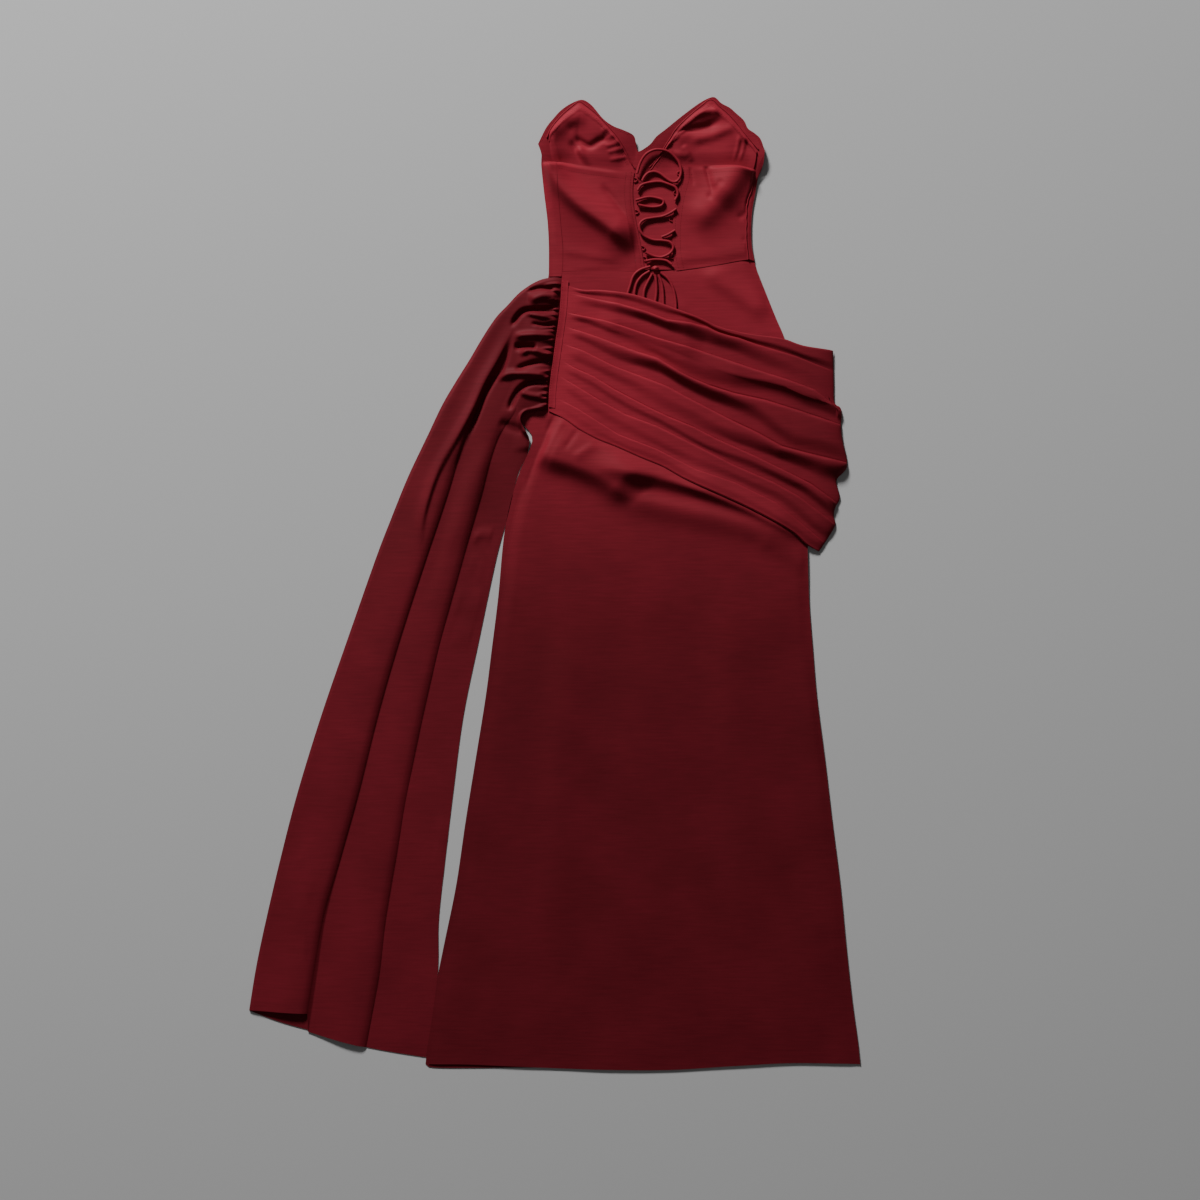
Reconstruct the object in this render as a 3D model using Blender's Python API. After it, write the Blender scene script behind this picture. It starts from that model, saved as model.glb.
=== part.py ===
"""Strapless corset dress in satin, laid flat with its back upwards.

The bust points to +Y, +X is to the right seen from above, where the zip is, and the dress rests on
the plane z = 0.  Lengths below are in millimetres and are turned into metres when the meshes are
made.  Every panel is a cloth wall: a sheet of points for its underside, worked out from the outline
tables and thickened along the sheet's own normals.
"""
import math
from collections import namedtuple

import bpy
import numpy as np

MM = 0.001
DATUM = (0.0, 1.7)    # brings the middle of the outline to the origin

# Driving sizes
WALL = 1.2            # cloth and its turned edges
SEAM = 0.4            # gap kept between two pieces that are sewn or lie on each other
CUP_RIM = 8.0         # how far the neckline stands up from the lying cups
CUP_ROLL = 56.0       # width of the stretch below the neckline over which it rises
HIP_LIFT = 1.6        # the front skirt rises this much over the front of the hip drape
HIP_MARGIN = (12.0, 34.0)  # the rise is complete this far above and below the front drape
HIP_FADE = (33.0, 60.0)    # and has gone this much further out
LINING_STEP = 2.05     # underside of the lining above the underside of the front
BACK_STEP = 3.7       # underside of the back above the table, over the lining and the hip rise
HEM_STEP = 1.8        # the same further down, where the back lies straight on the front
EDGE_ROLL = 14.0      # width over which the back comes down to the front at a side seam
DRAPE_STEP = 5.3      # underside of the hip drape's back
DRAPE_LOW = 1.6       # height at which the back of the drape meets its front at the right
DRAPE_OUT = 0.6       # the drape reaches this far past the skirt it lies on
STRIP_STEP = 7.1      # underside of the strip that covers the gathered seam
STRIP_WIDTH = 10.0
TRAIN_STEP = 3.4      # underside of the train where it passes over the front skirt
GATHERS = 17          # small gathers along the train's seam
LACE_RADIUS = 1.75    # rouleau lace
LACE_STEP = 7.2       # height of the lace's centre line where it lies on the back
LACE_SAG = 1.6        # how far a strand sinks between the two edges
BOW_STEP = 6.7        # height of the bow's cords on the skirt
BOW_COVER = 4.3       # the drape's top edge lies this much higher over the bow
LOOP_RADIUS = 0.8     # the small lacing loops' cord
PIPING_RADIUS = 0.9
PIPING_OUT = 3.2      # from the lining's edge to the middle of the piping
PIPING_STATIONS = 26
ZIP_RADIUS = 0.8      # the folded cover of the zip
ZIP_IN = 1.2          # from the side seam to the middle of that cover
PANEL_FLAT = 12.0     # a panel's ridges die out this far from its edges
BACK_SIZE = (112.0, 152.0)      # width and height of one half of the back

Section = namedtuple("Section", "y front_left back_left right")
# the skirt from waist to hem: height on the table, and the x of each side edge
SKIRT = [
    Section(466, -9, 11, 304), Section(408, -16, 7, 327), Section(357, -24, 0, 347),
    Section(297, -36, -8, 357), Section(258, -54, -10, 362), Section(242, -52, -13, 364),
    Section(224, -33, -18, 367), Section(205, -35, -22, 370), Section(155, -57, -46, 374),
    Section(80, -75, -67, 378), Section(-21, -85, -80, 381), Section(-102, -95, -89, 387),
    Section(-172, -104, -99, 393), Section(-265, -119, -114, 405), Section(-358, -134, -129, 416),
    Section(-453, -148, -144, 428), Section(-546, -167, -162, 437), Section(-627, -183, -178, 446),
    Section(-685, -190, -185, 454), Section(-721, -194, -189, 458),
]
WAIST_BACK = [(11, 466), (68, 466.5), (128, 466), (182, 467), (233, 474), (273, 481), (299, 482)]
WAIST_FRONT = [(-9, 466), (68, 466.5), (128, 466), (182, 467), (233, 474), (273, 481), (299, 482)]
HEM = [(-189, -717), (-127, -718), (-27, -723), (72, -727), (171, -728), (264, -723), (347, -719),
       (428, -720), (458, -721)]
HEM_FRONT = [(-193, -715), (-172, -721), (-27, -722), (72, -726), (171, -727), (264, -722),
             (347, -718), (428, -719), (458, -721)]

NECKLINE = [(-25, 657), (-13, 681), (-2, 695), (8, 706), (20, 715), (32, 721), (40, 723), (47, 721),
            (57, 713), (72, 695), (87, 684), (102, 678), (117, 671), (121, 662), (123, 648),
            (129, 648), (143, 657), (152, 668), (166, 679), (192, 700), (218, 719), (235, 727),
            (242, 725), (249, 718), (262, 711), (270, 704), (283, 692), (289, 680), (299, 673),
            (308, 664), (314, 647)]
SIDE_LEFT = [(-25, 657), (-20, 642), (-20, 626), (-16, 585), (-11, 543), (-9, 506), (-9, 467)]
SIDE_RIGHT = [(314, 647), (312, 627), (306, 615), (301, 588), (296, 561), (294, 531), (295, 506),
              (299, 483)]
LINING_EDGE_LEFT = [(-9, 665), (-2, 680), (13, 698), (32, 714), (37, 717), (42, 714), (62, 698),
                    (78, 681), (92, 665), (103, 648), (112, 630), (117, 621)]
LINING_EDGE_RIGHT = [(144, 621), (150, 627), (161, 641), (170, 656), (176, 665), (182, 675),
                     (192, 686), (205, 698), (223, 713), (234, 720), (244, 711), (257, 700),
                     (270, 686), (280, 673), (290, 661), (302, 647)]
BACK_LEFT_TOP = [(2, 630), (12, 630), (38, 626), (62, 623), (87, 620), (119, 616)]
BACK_LEFT_SEAM = [(2, 630), (5, 590), (9, 537), (12, 500), (11, 467)]
BACK_LEFT_LACED = [(119, 616), (117, 597), (117, 575), (121, 545), (128, 510), (133, 479), (134, 467)]
BACK_RIGHT_TOP = [(189, 624), (212, 625), (244, 626), (270, 626), (289, 622), (300, 618)]
BACK_RIGHT_LACED = [(189, 624), (189, 605), (183, 582), (179, 561), (176, 527), (177, 492), (182, 468)]
ZIP_LINE = [(300, 618), (297, 593), (289, 567), (288, 537), (288, 515), (291, 485)]

DRAPE_TOP = [(11, 449), (38, 439), (68, 438), (107, 433), (128, 428), (158, 418), (185, 408),
             (218, 396), (246, 383), (287, 373), (338, 366), (371, 355), (416, 348)]
DRAPE_RIGHT = [(416, 348), (417, 299), (418, 270), (427, 263), (429, 251), (428, 236), (430, 215),
               (436, 189), (437, 178), (434, 169), (421, 155), (424, 138), (426, 126), (419, 113),
               (417, 99), (419, 87), (407, 66), (395, 48)]
DRAPE_BOTTOM = [(-10, 258), (15, 246), (36, 231), (64, 216), (92, 205), (128, 189), (162, 175),
                (190, 159), (215, 147), (251, 131), (288, 114), (330, 92), (358, 75), (377, 58),
                (395, 48)]
FRONT_DRAPE_TOP = [(6, 415), (120, 400), (250, 366), (338, 354), (416, 346)]

Pleat = namedtuple("Pleat", "left middle right low_left low_middle low_right")
# the hip drape's folds from its top edge down: where each ridge lies between the two long edges
# (0 to 1) at the gathered seam, half way and at the right end, and its height at the same places
PLEATS = [
    Pleat(0.00, 0.00, 0.00, 1.0, 2.0, 5.0),
    Pleat(0.07, 0.09, 0.14, 1.5, 3.0, 2.0),
    Pleat(0.19, 0.17, 0.285, 2.5, 5.0, 7.0),
    Pleat(0.30, 0.375, 0.375, 2.5, 6.5, 8.0),
    Pleat(0.455, 0.49, 0.555, 3.0, 6.0, 9.0),
    Pleat(0.57, 0.635, 0.75, 2.5, 5.5, 8.0),
    Pleat(0.71, 0.765, 0.855, 2.0, 5.0, 7.0),
    Pleat(0.88, 0.89, 0.93, 1.0, 2.5, 4.0),
    Pleat(1.00, 1.00, 1.00, 1.0, 1.2, 2.0),
]
# between two ridges: share of the way to the next one, and share of the first one's height.  Each
# fold's edge looks towards the bust, so the last stretch up to the next ridge is the steep one
PLEAT_PROFILE = [(0.0, 1.0), (0.35, 0.8), (0.65, 0.3), (0.86, 0.0)]
DRAPE_ROLL = 0.93     # from this share of its width on, the drape's back rolls down to its front
DRAPE_WIDTH = 400.0
DRAPE_FADE = 24.0     # the pleats flatten over this width beside the strip

TrainRow = namedtuple("TrainRow", "outer_x outer_y inner_x inner_y columns gather fold ridge_a ridge_b")
# the train from its gathered seam to its hem: the ends of each section, how many points cross it,
# the depth of the small gathers and of the big folds, and where its two long ridges lie
TRAIN = [
    TrainRow(10, 457, -11, 260, 68, 2.4, 0.0, 0.24, 0.86),
    TrainRow(0, 458, -16, 259.5, 68, 2.8, 1.0, 0.24, 0.86),
    TrainRow(-12, 456.5, -23, 259, 68, 2.6, 2.2, 0.24, 0.86),
    TrainRow(-24, 453, -32, 258, 34, 2.0, 3.6, 0.23, 0.86),
    TrainRow(-38, 446, -41, 256, 34, 1.2, 5.0, 0.21, 0.86),
    TrainRow(-54, 434, -48, 251, 34, 0.8, 5.6, 0.20, 0.86),
    TrainRow(-70, 417, -51, 243, 34, 0.4, 5.8, 0.23, 0.84),
    TrainRow(-88, 398, -50, 234, 34, 0.0, 5.6, 0.29, 0.81),
    TrainRow(-108, 368, -44, 226, 34, 0.0, 5.0, 0.32, 0.77),
    TrainRow(-128, 334, -39, 217, 20, 0.0, 4.0, 0.33, 0.72),
    TrainRow(-148, 302, -39, 206, 20, 0.0, 3.0, 0.33, 0.68),
    TrainRow(-169, 266, -45, 190, 20, 0.0, 2.0, 0.35, 0.66),
    TrainRow(-190, 222, -56, 165, 20, 0.0, 1.4, 0.37, 0.69),
    TrainRow(-220, 159, -69, 130, 20, 0.0, 0.8, 0.41, 0.715),
    TrainRow(-246, 95, -76, 92, 20, 0.0, 0.4, 0.42, 0.72),
    TrainRow(-269, 35, -91, 36, 20, 0.0, 0.0, 0.42, 0.725),
    TrainRow(-310, -82, -113, -82, 20, 0.0, 0.0, 0.40, 0.71),
    TrainRow(-350, -198, -137, -198, 20, 0.0, 0.0, 0.40, 0.715),
    TrainRow(-386, -315, -152, -311, 20, 0.0, 0.0, 0.395, 0.705),
    TrainRow(-411, -411, -164, -411, 20, 0.0, 0.0, 0.365, 0.70),
    TrainRow(-431, -498, -174, -505, 20, 0.0, 0.0, 0.335, 0.69),
    TrainRow(-447, -574, -177.6, -589, 20, 0.0, 0.0, 0.33, 0.675),
    TrainRow(-458, -640, -195.8, -711, 20, 0.0, 0.0, 0.33, 0.66),
]
TRAIN_HEM_BOW = 10.0
FOLD_CRESTS = [0.10, 0.36, 0.64, 0.90]
FOLD_WIDTH = 0.085
RIDGE_HEIGHT = 5.0
RIDGE_SPREAD = (0.11, 0.035)    # on the side of the outer edge, and on the steep side
RIDGE_START = (6, 12)           # rows over which the long ridges grow

Ridge = namedtuple("Ridge", "x1 y1 x2 y2 x3 y3 height upper lower")
# soft ridges raised in a panel: three points along the crest, its height, and how far it spreads on
# its upper side and on its lower, steeper side
BACK_LEFT_RIDGES = [Ridge(14, 600, 58, 567, 112, 520, 5.0, 17, 9)]
BACK_RIGHT_RIDGES = [Ridge(268, 610, 246, 584, 204, 537, 4.5, 15, 8)]
SKIRT_RIDGES = [
    Ridge(262, 460, 296, 431, 330, 398, 4.0, 16, 9),
    Ridge(10, 190, 72, 170, 140, 166, 4.0, 16, 9),
    Ridge(96, 143, 196, 112, 300, 76, 4.5, 20, 11),
    Ridge(20, -40, 8, -300, -10, -560, 2.2, 34, 26),
    Ridge(250, 20, 268, -260, 292, -600, 2.0, 40, 30),
]

# the lace, strand by strand from the top; points (x, y)
LACE = [
    [(123, 613), (128, 629), (136, 641), (147, 647), (158, 648), (170, 645), (179, 638), (186, 629),
     (189, 617), (187, 607), (182, 601), (175, 601), (167, 606), (158, 613), (149, 616), (140, 614),
     (134, 608), (131, 602)],
    [(124, 588), (130, 596), (143, 600), (158, 601), (171, 597), (181, 592), (184, 582), (180, 573)],
    [(121, 573), (140, 578), (155, 576), (163, 572), (159, 565), (144, 563), (125, 566)],
    [(182, 560), (173, 554), (161, 549), (147, 547), (134, 544), (127, 537), (128, 527), (135, 519),
     (147, 514), (160, 513), (171, 511), (177, 505), (176, 498), (170, 492), (159, 488), (147, 490),
     (136, 495)],
    [(180, 528), (170, 522), (160, 518)],
    [(136, 482), (150, 484.5), (166, 483), (175, 477)],
]
KNOT = (151, 471)
KNOT_RADIUS = 4.6
KNOT_STEP = 7.35      # height of the knot's middle over the lining
# the bow's loops go under the drape and come back, its tails end there
BOW_LOOPS = [
    [(143, 474), (128, 469), (118, 460), (113, 446), (108, 428), (109, 414), (114, 407), (120, 412),
     (119, 430), (122, 447), (130, 459), (142, 467)],
    [(158, 465), (170, 455), (177, 441), (181, 420), (180, 404), (175, 395), (167, 399), (163, 413),
     (162, 432), (160, 448), (155, 462)],
]
BOW_TAILS = [
    [(146, 463), (140, 452), (134, 438), (133, 420), (136, 404), (140, 394)],
    [(150.5, 461), (152, 448), (152, 434), (150, 416), (151, 400), (155, 388)],
]
LOOP_HEIGHTS_LEFT = [604, 556, 531, 502, 486]
LOOP_HEIGHTS_RIGHT = [614, 585, 545, 515, 489]
LOOP_REACH = 5.0
LOOP_START = 0.95
LOOP_SPREAD = 3.0

BODICE_RED = (0.245, 0.014, 0.020)
SKIRT_RED = (0.105, 0.006, 0.010)
LINING_RED = (0.205, 0.012, 0.017)
CORD_RED = (0.190, 0.010, 0.015)


def smoothstep(value):
    value = min(max(value, 0.0), 1.0)
    return value * value * (3.0 - 2.0 * value)


class Path:
    """A smooth curve through hand-set points, read at 0 to 1 of its length."""

    def __init__(self, points, steps=6):
        pts = np.array(points, float)
        padded = np.vstack([2 * pts[0] - pts[1], pts, 2 * pts[-1] - pts[-2]])
        fine = []
        for i in range(len(pts) - 1):
            a, b, c, d = padded[i:i + 4]
            for k in range(steps):
                t = k / steps
                fine.append(0.5 * (2 * b + (c - a) * t + (2 * a - 5 * b + 4 * c - d) * t * t
                                   + (3 * b - a - 3 * c + d) * t ** 3))
        fine.append(pts[-1])
        self.points = np.array(fine)
        run = np.linalg.norm(np.diff(self.points, axis=0), axis=1)
        self.length = float(run.sum())
        self.share = np.concatenate([[0.0], np.cumsum(run)]) / self.length

    def at(self, share):
        return np.array([np.interp(share, self.share, self.points[:, k])
                         for k in range(self.points.shape[1])])

    def distance(self, x, y):
        """Shortest distance to the curve, where along it, and on which side (+1 is to the left)."""
        a = self.points[:-1, :2]
        run = self.points[1:, :2] - a
        rel = np.array([x, y]) - a
        t = np.clip((rel * run).sum(1) / (run * run).sum(1), 0, 1)
        gap = rel - run * t[:, None]
        size = np.linalg.norm(gap, axis=1)
        k = int(size.argmin())
        side = 1.0 if run[k][0] * rel[k][1] - run[k][1] * rel[k][0] > 0 else -1.0
        share = self.share[k] + t[k] * (self.share[k + 1] - self.share[k])
        return float(size[k]), float(share), side


def shifted(points, dx, dy=0.0):
    return [(x + dx, y + dy) for x, y in points]


def side_path(column, shift=0.0):
    """One side edge of the skirt as a path, from the sections table."""
    start = [(WAIST_BACK[-1][0] + shift, WAIST_BACK[-1][1])] if column == "right" else []
    return Path(start + [(getattr(row, column) + shift, row.y) for row in SKIRT])


def edge_x(column, y):
    ys = [row.y for row in SKIRT][::-1]
    xs = [getattr(row, column) for row in SKIRT][::-1]
    return float(np.interp(y, ys, xs))


NECK_PATH = Path(NECKLINE)
CUP_PATH_LEFT = Path(NECKLINE[:12])
CUP_PATH_RIGHT = Path(NECKLINE[17:])
FRONT_TOP_PATH = Path(FRONT_DRAPE_TOP)
DRAPE_BOTTOM_PATH = Path(DRAPE_BOTTOM)


def cup_lift(x, y):
    """The neckline stands up a little from the cups that lie on the table."""
    if y < 560:
        return 0.0
    gap = min(CUP_PATH_LEFT.distance(x, y)[0], CUP_PATH_RIGHT.distance(x, y)[0])
    return CUP_RIM * smoothstep(1.0 - gap / CUP_ROLL)


def hip_lift(x, y):
    """The front skirt passes over the front of the hip drape."""
    top = float(np.interp(x, FRONT_TOP_PATH.points[:, 0], FRONT_TOP_PATH.points[:, 1]))
    low = float(np.interp(x, DRAPE_BOTTOM_PATH.points[:, 0], DRAPE_BOTTOM_PATH.points[:, 1]))
    above = 1.0 - (y - top - HIP_MARGIN[0]) / HIP_FADE[0]
    below = 1.0 - (low - y - HIP_MARGIN[1]) / HIP_FADE[1]
    return HIP_LIFT * smoothstep(above) * smoothstep(below)


def front_z(x, y):
    return cup_lift(x, y) + hip_lift(x, y)


def lining_z(x, y):
    return cup_lift(x, y) + LINING_STEP


def back_z(x, y):
    drop = (BACK_STEP - HEM_STEP) * smoothstep(-y / 110.0)
    return cup_lift(x, y) + BACK_STEP - drop


def ridges_z(ridges, x, y):
    total = 0.0
    for row in ridges:
        path = Path([(row.x1, row.y1), (row.x2, row.y2), (row.x3, row.y3)])
        gap, share, side = path.distance(x, y)
        up = side if row.x3 > row.x1 else -side
        spread = row.upper if up > 0 else row.lower
        ends = math.sin(math.pi * min(max(share, 0.0), 1.0)) ** 0.7
        total += row.height * ends * math.exp(-(gap / spread) ** 2)
    return total


def coons(left, right, top, bottom, u, v):
    """A point of the patch between four edges; u runs left to right, v from the top down."""
    flat = (1 - u) * left.at(v) + u * right.at(v) + (1 - v) * top.at(u) + v * bottom.at(u)
    corners = ((1 - u) * (1 - v) * top.at(0) + u * (1 - v) * top.at(1)
               + (1 - u) * v * bottom.at(0) + u * v * bottom.at(1))
    return flat - corners


def even(count):
    return [i / count for i in range(count + 1)]


def cloth_material(name, colour, roughness=0.55):
    material = bpy.data.materials.new(name)
    material.use_nodes = True
    shader = material.node_tree.nodes["Principled BSDF"]
    shader.inputs["Base Color"].default_value = (*colour, 1.0)
    shader.inputs["Roughness"].default_value = roughness
    shader.inputs["Metallic"].default_value = 0.0
    return material


def place(piece, colour, roughness=0.55):
    """Give a new piece its material and hang it on the dress's datum."""
    piece.data.materials.append(cloth_material(piece.name, colour, roughness))
    bpy.context.scene.collection.objects.link(piece)
    piece.parent = bpy.data.objects["dress"]


def stitch(first, second):
    """Faces between two rows of (share, index) that may hold different numbers of points."""
    faces = []
    i = 0
    j = 0
    while i < len(first) - 1 or j < len(second) - 1:
        both = i < len(first) - 1 and j < len(second) - 1
        if both and len(first) == len(second):
            faces.append([first[i][1], second[j][1], second[j + 1][1], first[i + 1][1]])
            i += 1
            j += 1
        elif j == len(second) - 1 or (both and first[i + 1][0] <= second[j + 1][0]):
            faces.append([first[i][1], second[j][1], first[i + 1][1]])
            i += 1
        else:
            faces.append([first[i][1], second[j][1], second[j + 1][1]])
            j += 1
    return faces


def cloth(name, rows, colour, wall=WALL):
    """One closed cloth wall.  rows run from the top of the panel down, each from left to right:
    a list of (share, (x, y, z)) for the points of the wall's underside."""
    points = []
    numbered = []
    for row in rows:
        numbered.append([(share, len(points) + k) for k, (share, _) in enumerate(row)])
        points += [point for _, point in row]
    faces = []
    for first, second in zip(numbered, numbered[1:]):
        faces += stitch(first, second)
    low = np.array(points, float)
    normals = np.zeros_like(low)
    for face in faces:
        corners = low[face]
        turn = np.cross(corners[1] - corners[0], corners[2] - corners[0])
        if len(face) == 4:
            turn = turn + np.cross(corners[2] - corners[0], corners[3] - corners[0])
        for k in face:
            normals[k] += turn
    normals /= np.linalg.norm(normals, axis=1)[:, None]
    high = low + normals * wall
    count = len(low)
    solid = []
    edges = []
    for face in faces:
        solid.append([index + count for index in face])
        solid.append(face[::-1])
        edges += list(zip(face, face[1:] + face[:1]))
    inside = set(edges)
    for a, b in edges:
        if (b, a) not in inside:
            solid.append([a, b, b + count, a + count])
    mesh = bpy.data.meshes.new(name)
    mesh.from_pydata((np.vstack([low, high]) * MM).tolist(), [], solid)
    mesh.update()
    mesh.shade_smooth()
    mesh.set_sharp_from_angle(angle=math.radians(50))
    piece = bpy.data.objects.new(name, mesh)
    place(piece, colour)
    return piece


def patch_rows(edges, vs, columns, height):
    """Rows of a four-edged patch; columns gives the number of steps across each row."""
    rows = []
    for k, v in enumerate(vs):
        steps = columns[k] if isinstance(columns, list) else columns
        row = []
        for u in even(steps):
            x, y = coons(*edges, u, v)
            row.append((u, (x, y, height(x, y, u, v))))
        rows.append(row)
    return rows


def tube(name, points, radius, colour, resolution=2, spacing=8.0):
    """A cord with closed ends along a smooth curve through the given (x, y, z) points."""
    path = Path(points)
    count = max(int(round(path.length / spacing)), 3)
    curve = bpy.data.curves.new(name, "CURVE")
    curve.dimensions = "3D"
    curve.bevel_depth = radius * MM
    curve.bevel_resolution = resolution
    curve.use_fill_caps = True
    spline = curve.splines.new("POLY")
    spline.points.add(count)
    for k, share in enumerate(even(count)):
        x, y, z = path.at(share) * MM
        spline.points[k].co = (x, y, z, 1.0)
    piece = bpy.data.objects.new(name, curve)
    place(piece, colour, 0.5)
    return piece


def build_front():
    """Front bodice with its cups and the front skirt, which lie on the table."""

    def on_table(x, y, u, v):
        return front_z(x, y)

    edges = (Path(SIDE_LEFT), Path(SIDE_RIGHT), NECK_PATH, Path(shifted(WAIST_FRONT, 0, SEAM)))
    vs = [0.0, 0.045, 0.09, 0.135, 0.18, 0.24, 0.31, 0.4, 0.55, 0.75, 1.0]
    columns = [36, 36, 36, 36, 36, 36, 24, 18, 10, 10, 10]
    cloth("front_bodice", patch_rows(edges, vs, columns, on_table), BODICE_RED)

    edges = (side_path("front_left"), side_path("right"), Path(WAIST_FRONT), Path(HEM_FRONT))
    vs = [0.0, 0.015, 0.03, 0.045, 0.06, 0.08, 0.1, 0.15, 0.2, 0.24, 0.27, 0.3, 0.33, 0.36, 0.39,
          0.44, 0.55, 0.7, 0.85, 0.96, 1.0]
    cloth("front_skirt", patch_rows(edges, vs, 8, on_table), SKIRT_RED)


def build_lining():
    """Inside of the cups, and the front's lining where the lacing leaves it open."""

    def on_front(x, y, u, v):
        return lining_z(x, y)

    left = (Path([(-9, 665), (-6, 640), (4, 604)]), Path([(117, 621), (124, 610), (130.6, 600)]),
            Path(LINING_EDGE_LEFT), Path([(4, 604), (67, 601), (130.6, 600)]))
    cloth("cup_lining_left", patch_rows(left, even(7), 12, on_front), LINING_RED)
    right = (Path([(144, 621), (137, 610), (131.4, 600)]), Path([(302, 647), (300, 630), (293, 604)]),
             Path(LINING_EDGE_RIGHT), Path([(131.4, 600), (212, 601), (293, 604)]))
    cloth("cup_lining_right", patch_rows(right, even(7), 14, on_front), LINING_RED)
    middle = (Path([(104, 599.2), (104, 545), (119, 470)]),
              Path([(196, 599.2), (190, 530), (196, 470)]),
              Path([(104, 599.2), (150, 599.2), (196, 599.2)]),
              Path([(119, 470), (158, 470), (196, 470)]))
    cloth("front_lining", patch_rows(middle, even(8), 6, on_front), LINING_RED)
    for side, edge in (("left", LINING_EDGE_LEFT), ("right", LINING_EDGE_RIGHT)):
        route = []
        path = Path(edge)
        for share in even(PIPING_STATIONS):
            x, y = path.at(share)
            ahead = path.at(min(share + 0.01, 1.0)) - path.at(max(share - 0.01, 0.0))
            out = np.array([-ahead[1], ahead[0]]) / np.linalg.norm(ahead)
            x, y = np.array([x, y]) + out * PIPING_OUT
            route.append((x, y, front_z(x, y) + WALL + SEAM + PIPING_RADIUS + 0.3))
        tube("neckline_piping_" + side, route, PIPING_RADIUS, CORD_RED, 1, 11.0)


def inner(u, v):
    """0 at the edges of a half of the back, 1 once PANEL_FLAT inside them."""
    width, height = BACK_SIZE
    gap = min(u * width, (1 - u) * width, v * height, (1 - v) * height)
    return smoothstep(gap / PANEL_FLAT)


def build_back_bodice():
    """The two laced halves of the back, and the side panels that come round from the front."""

    def left_half(x, y, u, v):
        return back_z(x, y) + inner(u, v) * ridges_z(BACK_LEFT_RIDGES, x, y)

    def right_half(x, y, u, v):
        return back_z(x, y) + inner(u, v) * ridges_z(BACK_RIGHT_RIDGES, x, y)

    def rise_to_right(x, y, u, v):
        return lining_z(x, y) + (back_z(x, y) - lining_z(x, y)) * smoothstep(u)

    def rise_to_left(x, y, u, v):
        return rise_to_right(x, y, 1 - u, v)

    edges = (Path(shifted(BACK_LEFT_SEAM, SEAM)), Path(BACK_LEFT_LACED), Path(BACK_LEFT_TOP),
             Path([(11 + SEAM, 467), (68, 467), (134, 467)]))
    cloth("back_left", patch_rows(edges, even(12), 10, left_half), BODICE_RED)
    edges = (Path(BACK_RIGHT_LACED), Path(ZIP_LINE), Path(BACK_RIGHT_TOP),
             Path([(182, 468), (233, 475), (273, 482.5), (291, 485)]))
    cloth("back_right", patch_rows(edges, even(12), 10, right_half), BODICE_RED)
    edges = (Path(SIDE_LEFT + [(-9, 459.5)]), Path(BACK_LEFT_SEAM + [(9.8, 459.5)]),
             Path([(-25, 657), (-12, 640), (2, 630)]), Path([(-9, 459.5), (1, 459.5), (9.8, 459.5)]))
    cloth("side_panel_left", patch_rows(edges, even(12), 3, rise_to_right), BODICE_RED)
    edges = (Path(shifted(ZIP_LINE, SEAM)), Path(SIDE_RIGHT),
             Path([(300 + SEAM, 618), (308, 632), (314, 647)]),
             Path([(291 + SEAM, 485), (295, 484), (299, 483)]))
    cloth("side_panel_right", patch_rows(edges, even(12), 3, rise_to_left), BODICE_RED)


def build_zip():
    """Cover of the invisible zip along the right side seam."""
    route = [(x - ZIP_IN, y, back_z(x, y) + WALL + SEAM + ZIP_RADIUS) for x, y in ZIP_LINE]
    tube("side_zip", route, ZIP_RADIUS, CORD_RED, 1, 13.0)


def build_back_skirt():
    left = side_path("back_left")
    right = side_path("right")

    def height(x, y, u, v):
        top = back_z(x, y)
        seam = front_z(x, y) + LINING_STEP
        width = right.at(v)[0] - left.at(v)[0]
        near_right = smoothstep(1 - (1 - u) * width / EDGE_ROLL)
        near_left = smoothstep(1 - u * width / EDGE_ROLL) * smoothstep((250 - y) / 20)
        fold = ridges_z(SKIRT_RIDGES, x, y) * smoothstep(min(u, 1 - u) * width / 12)
        fold *= smoothstep((466 - y) / 12) if x < 240 else smoothstep(v * 1185 / 12)
        return top + (seam - top) * max(near_left, near_right) + fold

    edges = (left, right, Path(WAIST_BACK), Path(HEM))
    above = [0.0, 0.02, 0.04, 0.06, 0.085, 0.12, 0.17]
    beside = [0.205 + 0.0135 * k for k in range(13)]
    below = [0.39, 0.42, 0.47, 0.54, 0.62, 0.7, 0.78, 0.86, 0.94, 1.0]
    vs = above + beside + below
    columns = [12] * len(above) + [22] * len(beside) + [12] * len(below)
    cloth("back_skirt", patch_rows(edges, vs, columns, height), SKIRT_RED)


def quadratic(a, b, c, s):
    """The value at s of the curve through a, b and c at 0, 1/2 and 1."""
    return a * (1 - s) * (1 - 2 * s) + 4 * b * s * (1 - s) + c * s * (2 * s - 1)


def pleat_rows(s):
    """Shares and heights down one section of the hip drape, from ridge to ridge."""
    stops = []
    for upper, lower in zip(PLEATS, PLEATS[1:]):
        start = quadratic(upper.left, upper.middle, upper.right, s)
        end = quadratic(lower.left, lower.middle, lower.right, s)
        high = quadratic(upper.low_left, upper.low_middle, upper.low_right, s)
        for way, part in PLEAT_PROFILE:
            stops.append((start + way * (end - start), part * high))
    last = PLEATS[-1]
    stops.append((1.0, quadratic(last.low_left, last.low_middle, last.low_right, s)))
    return stops


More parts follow.
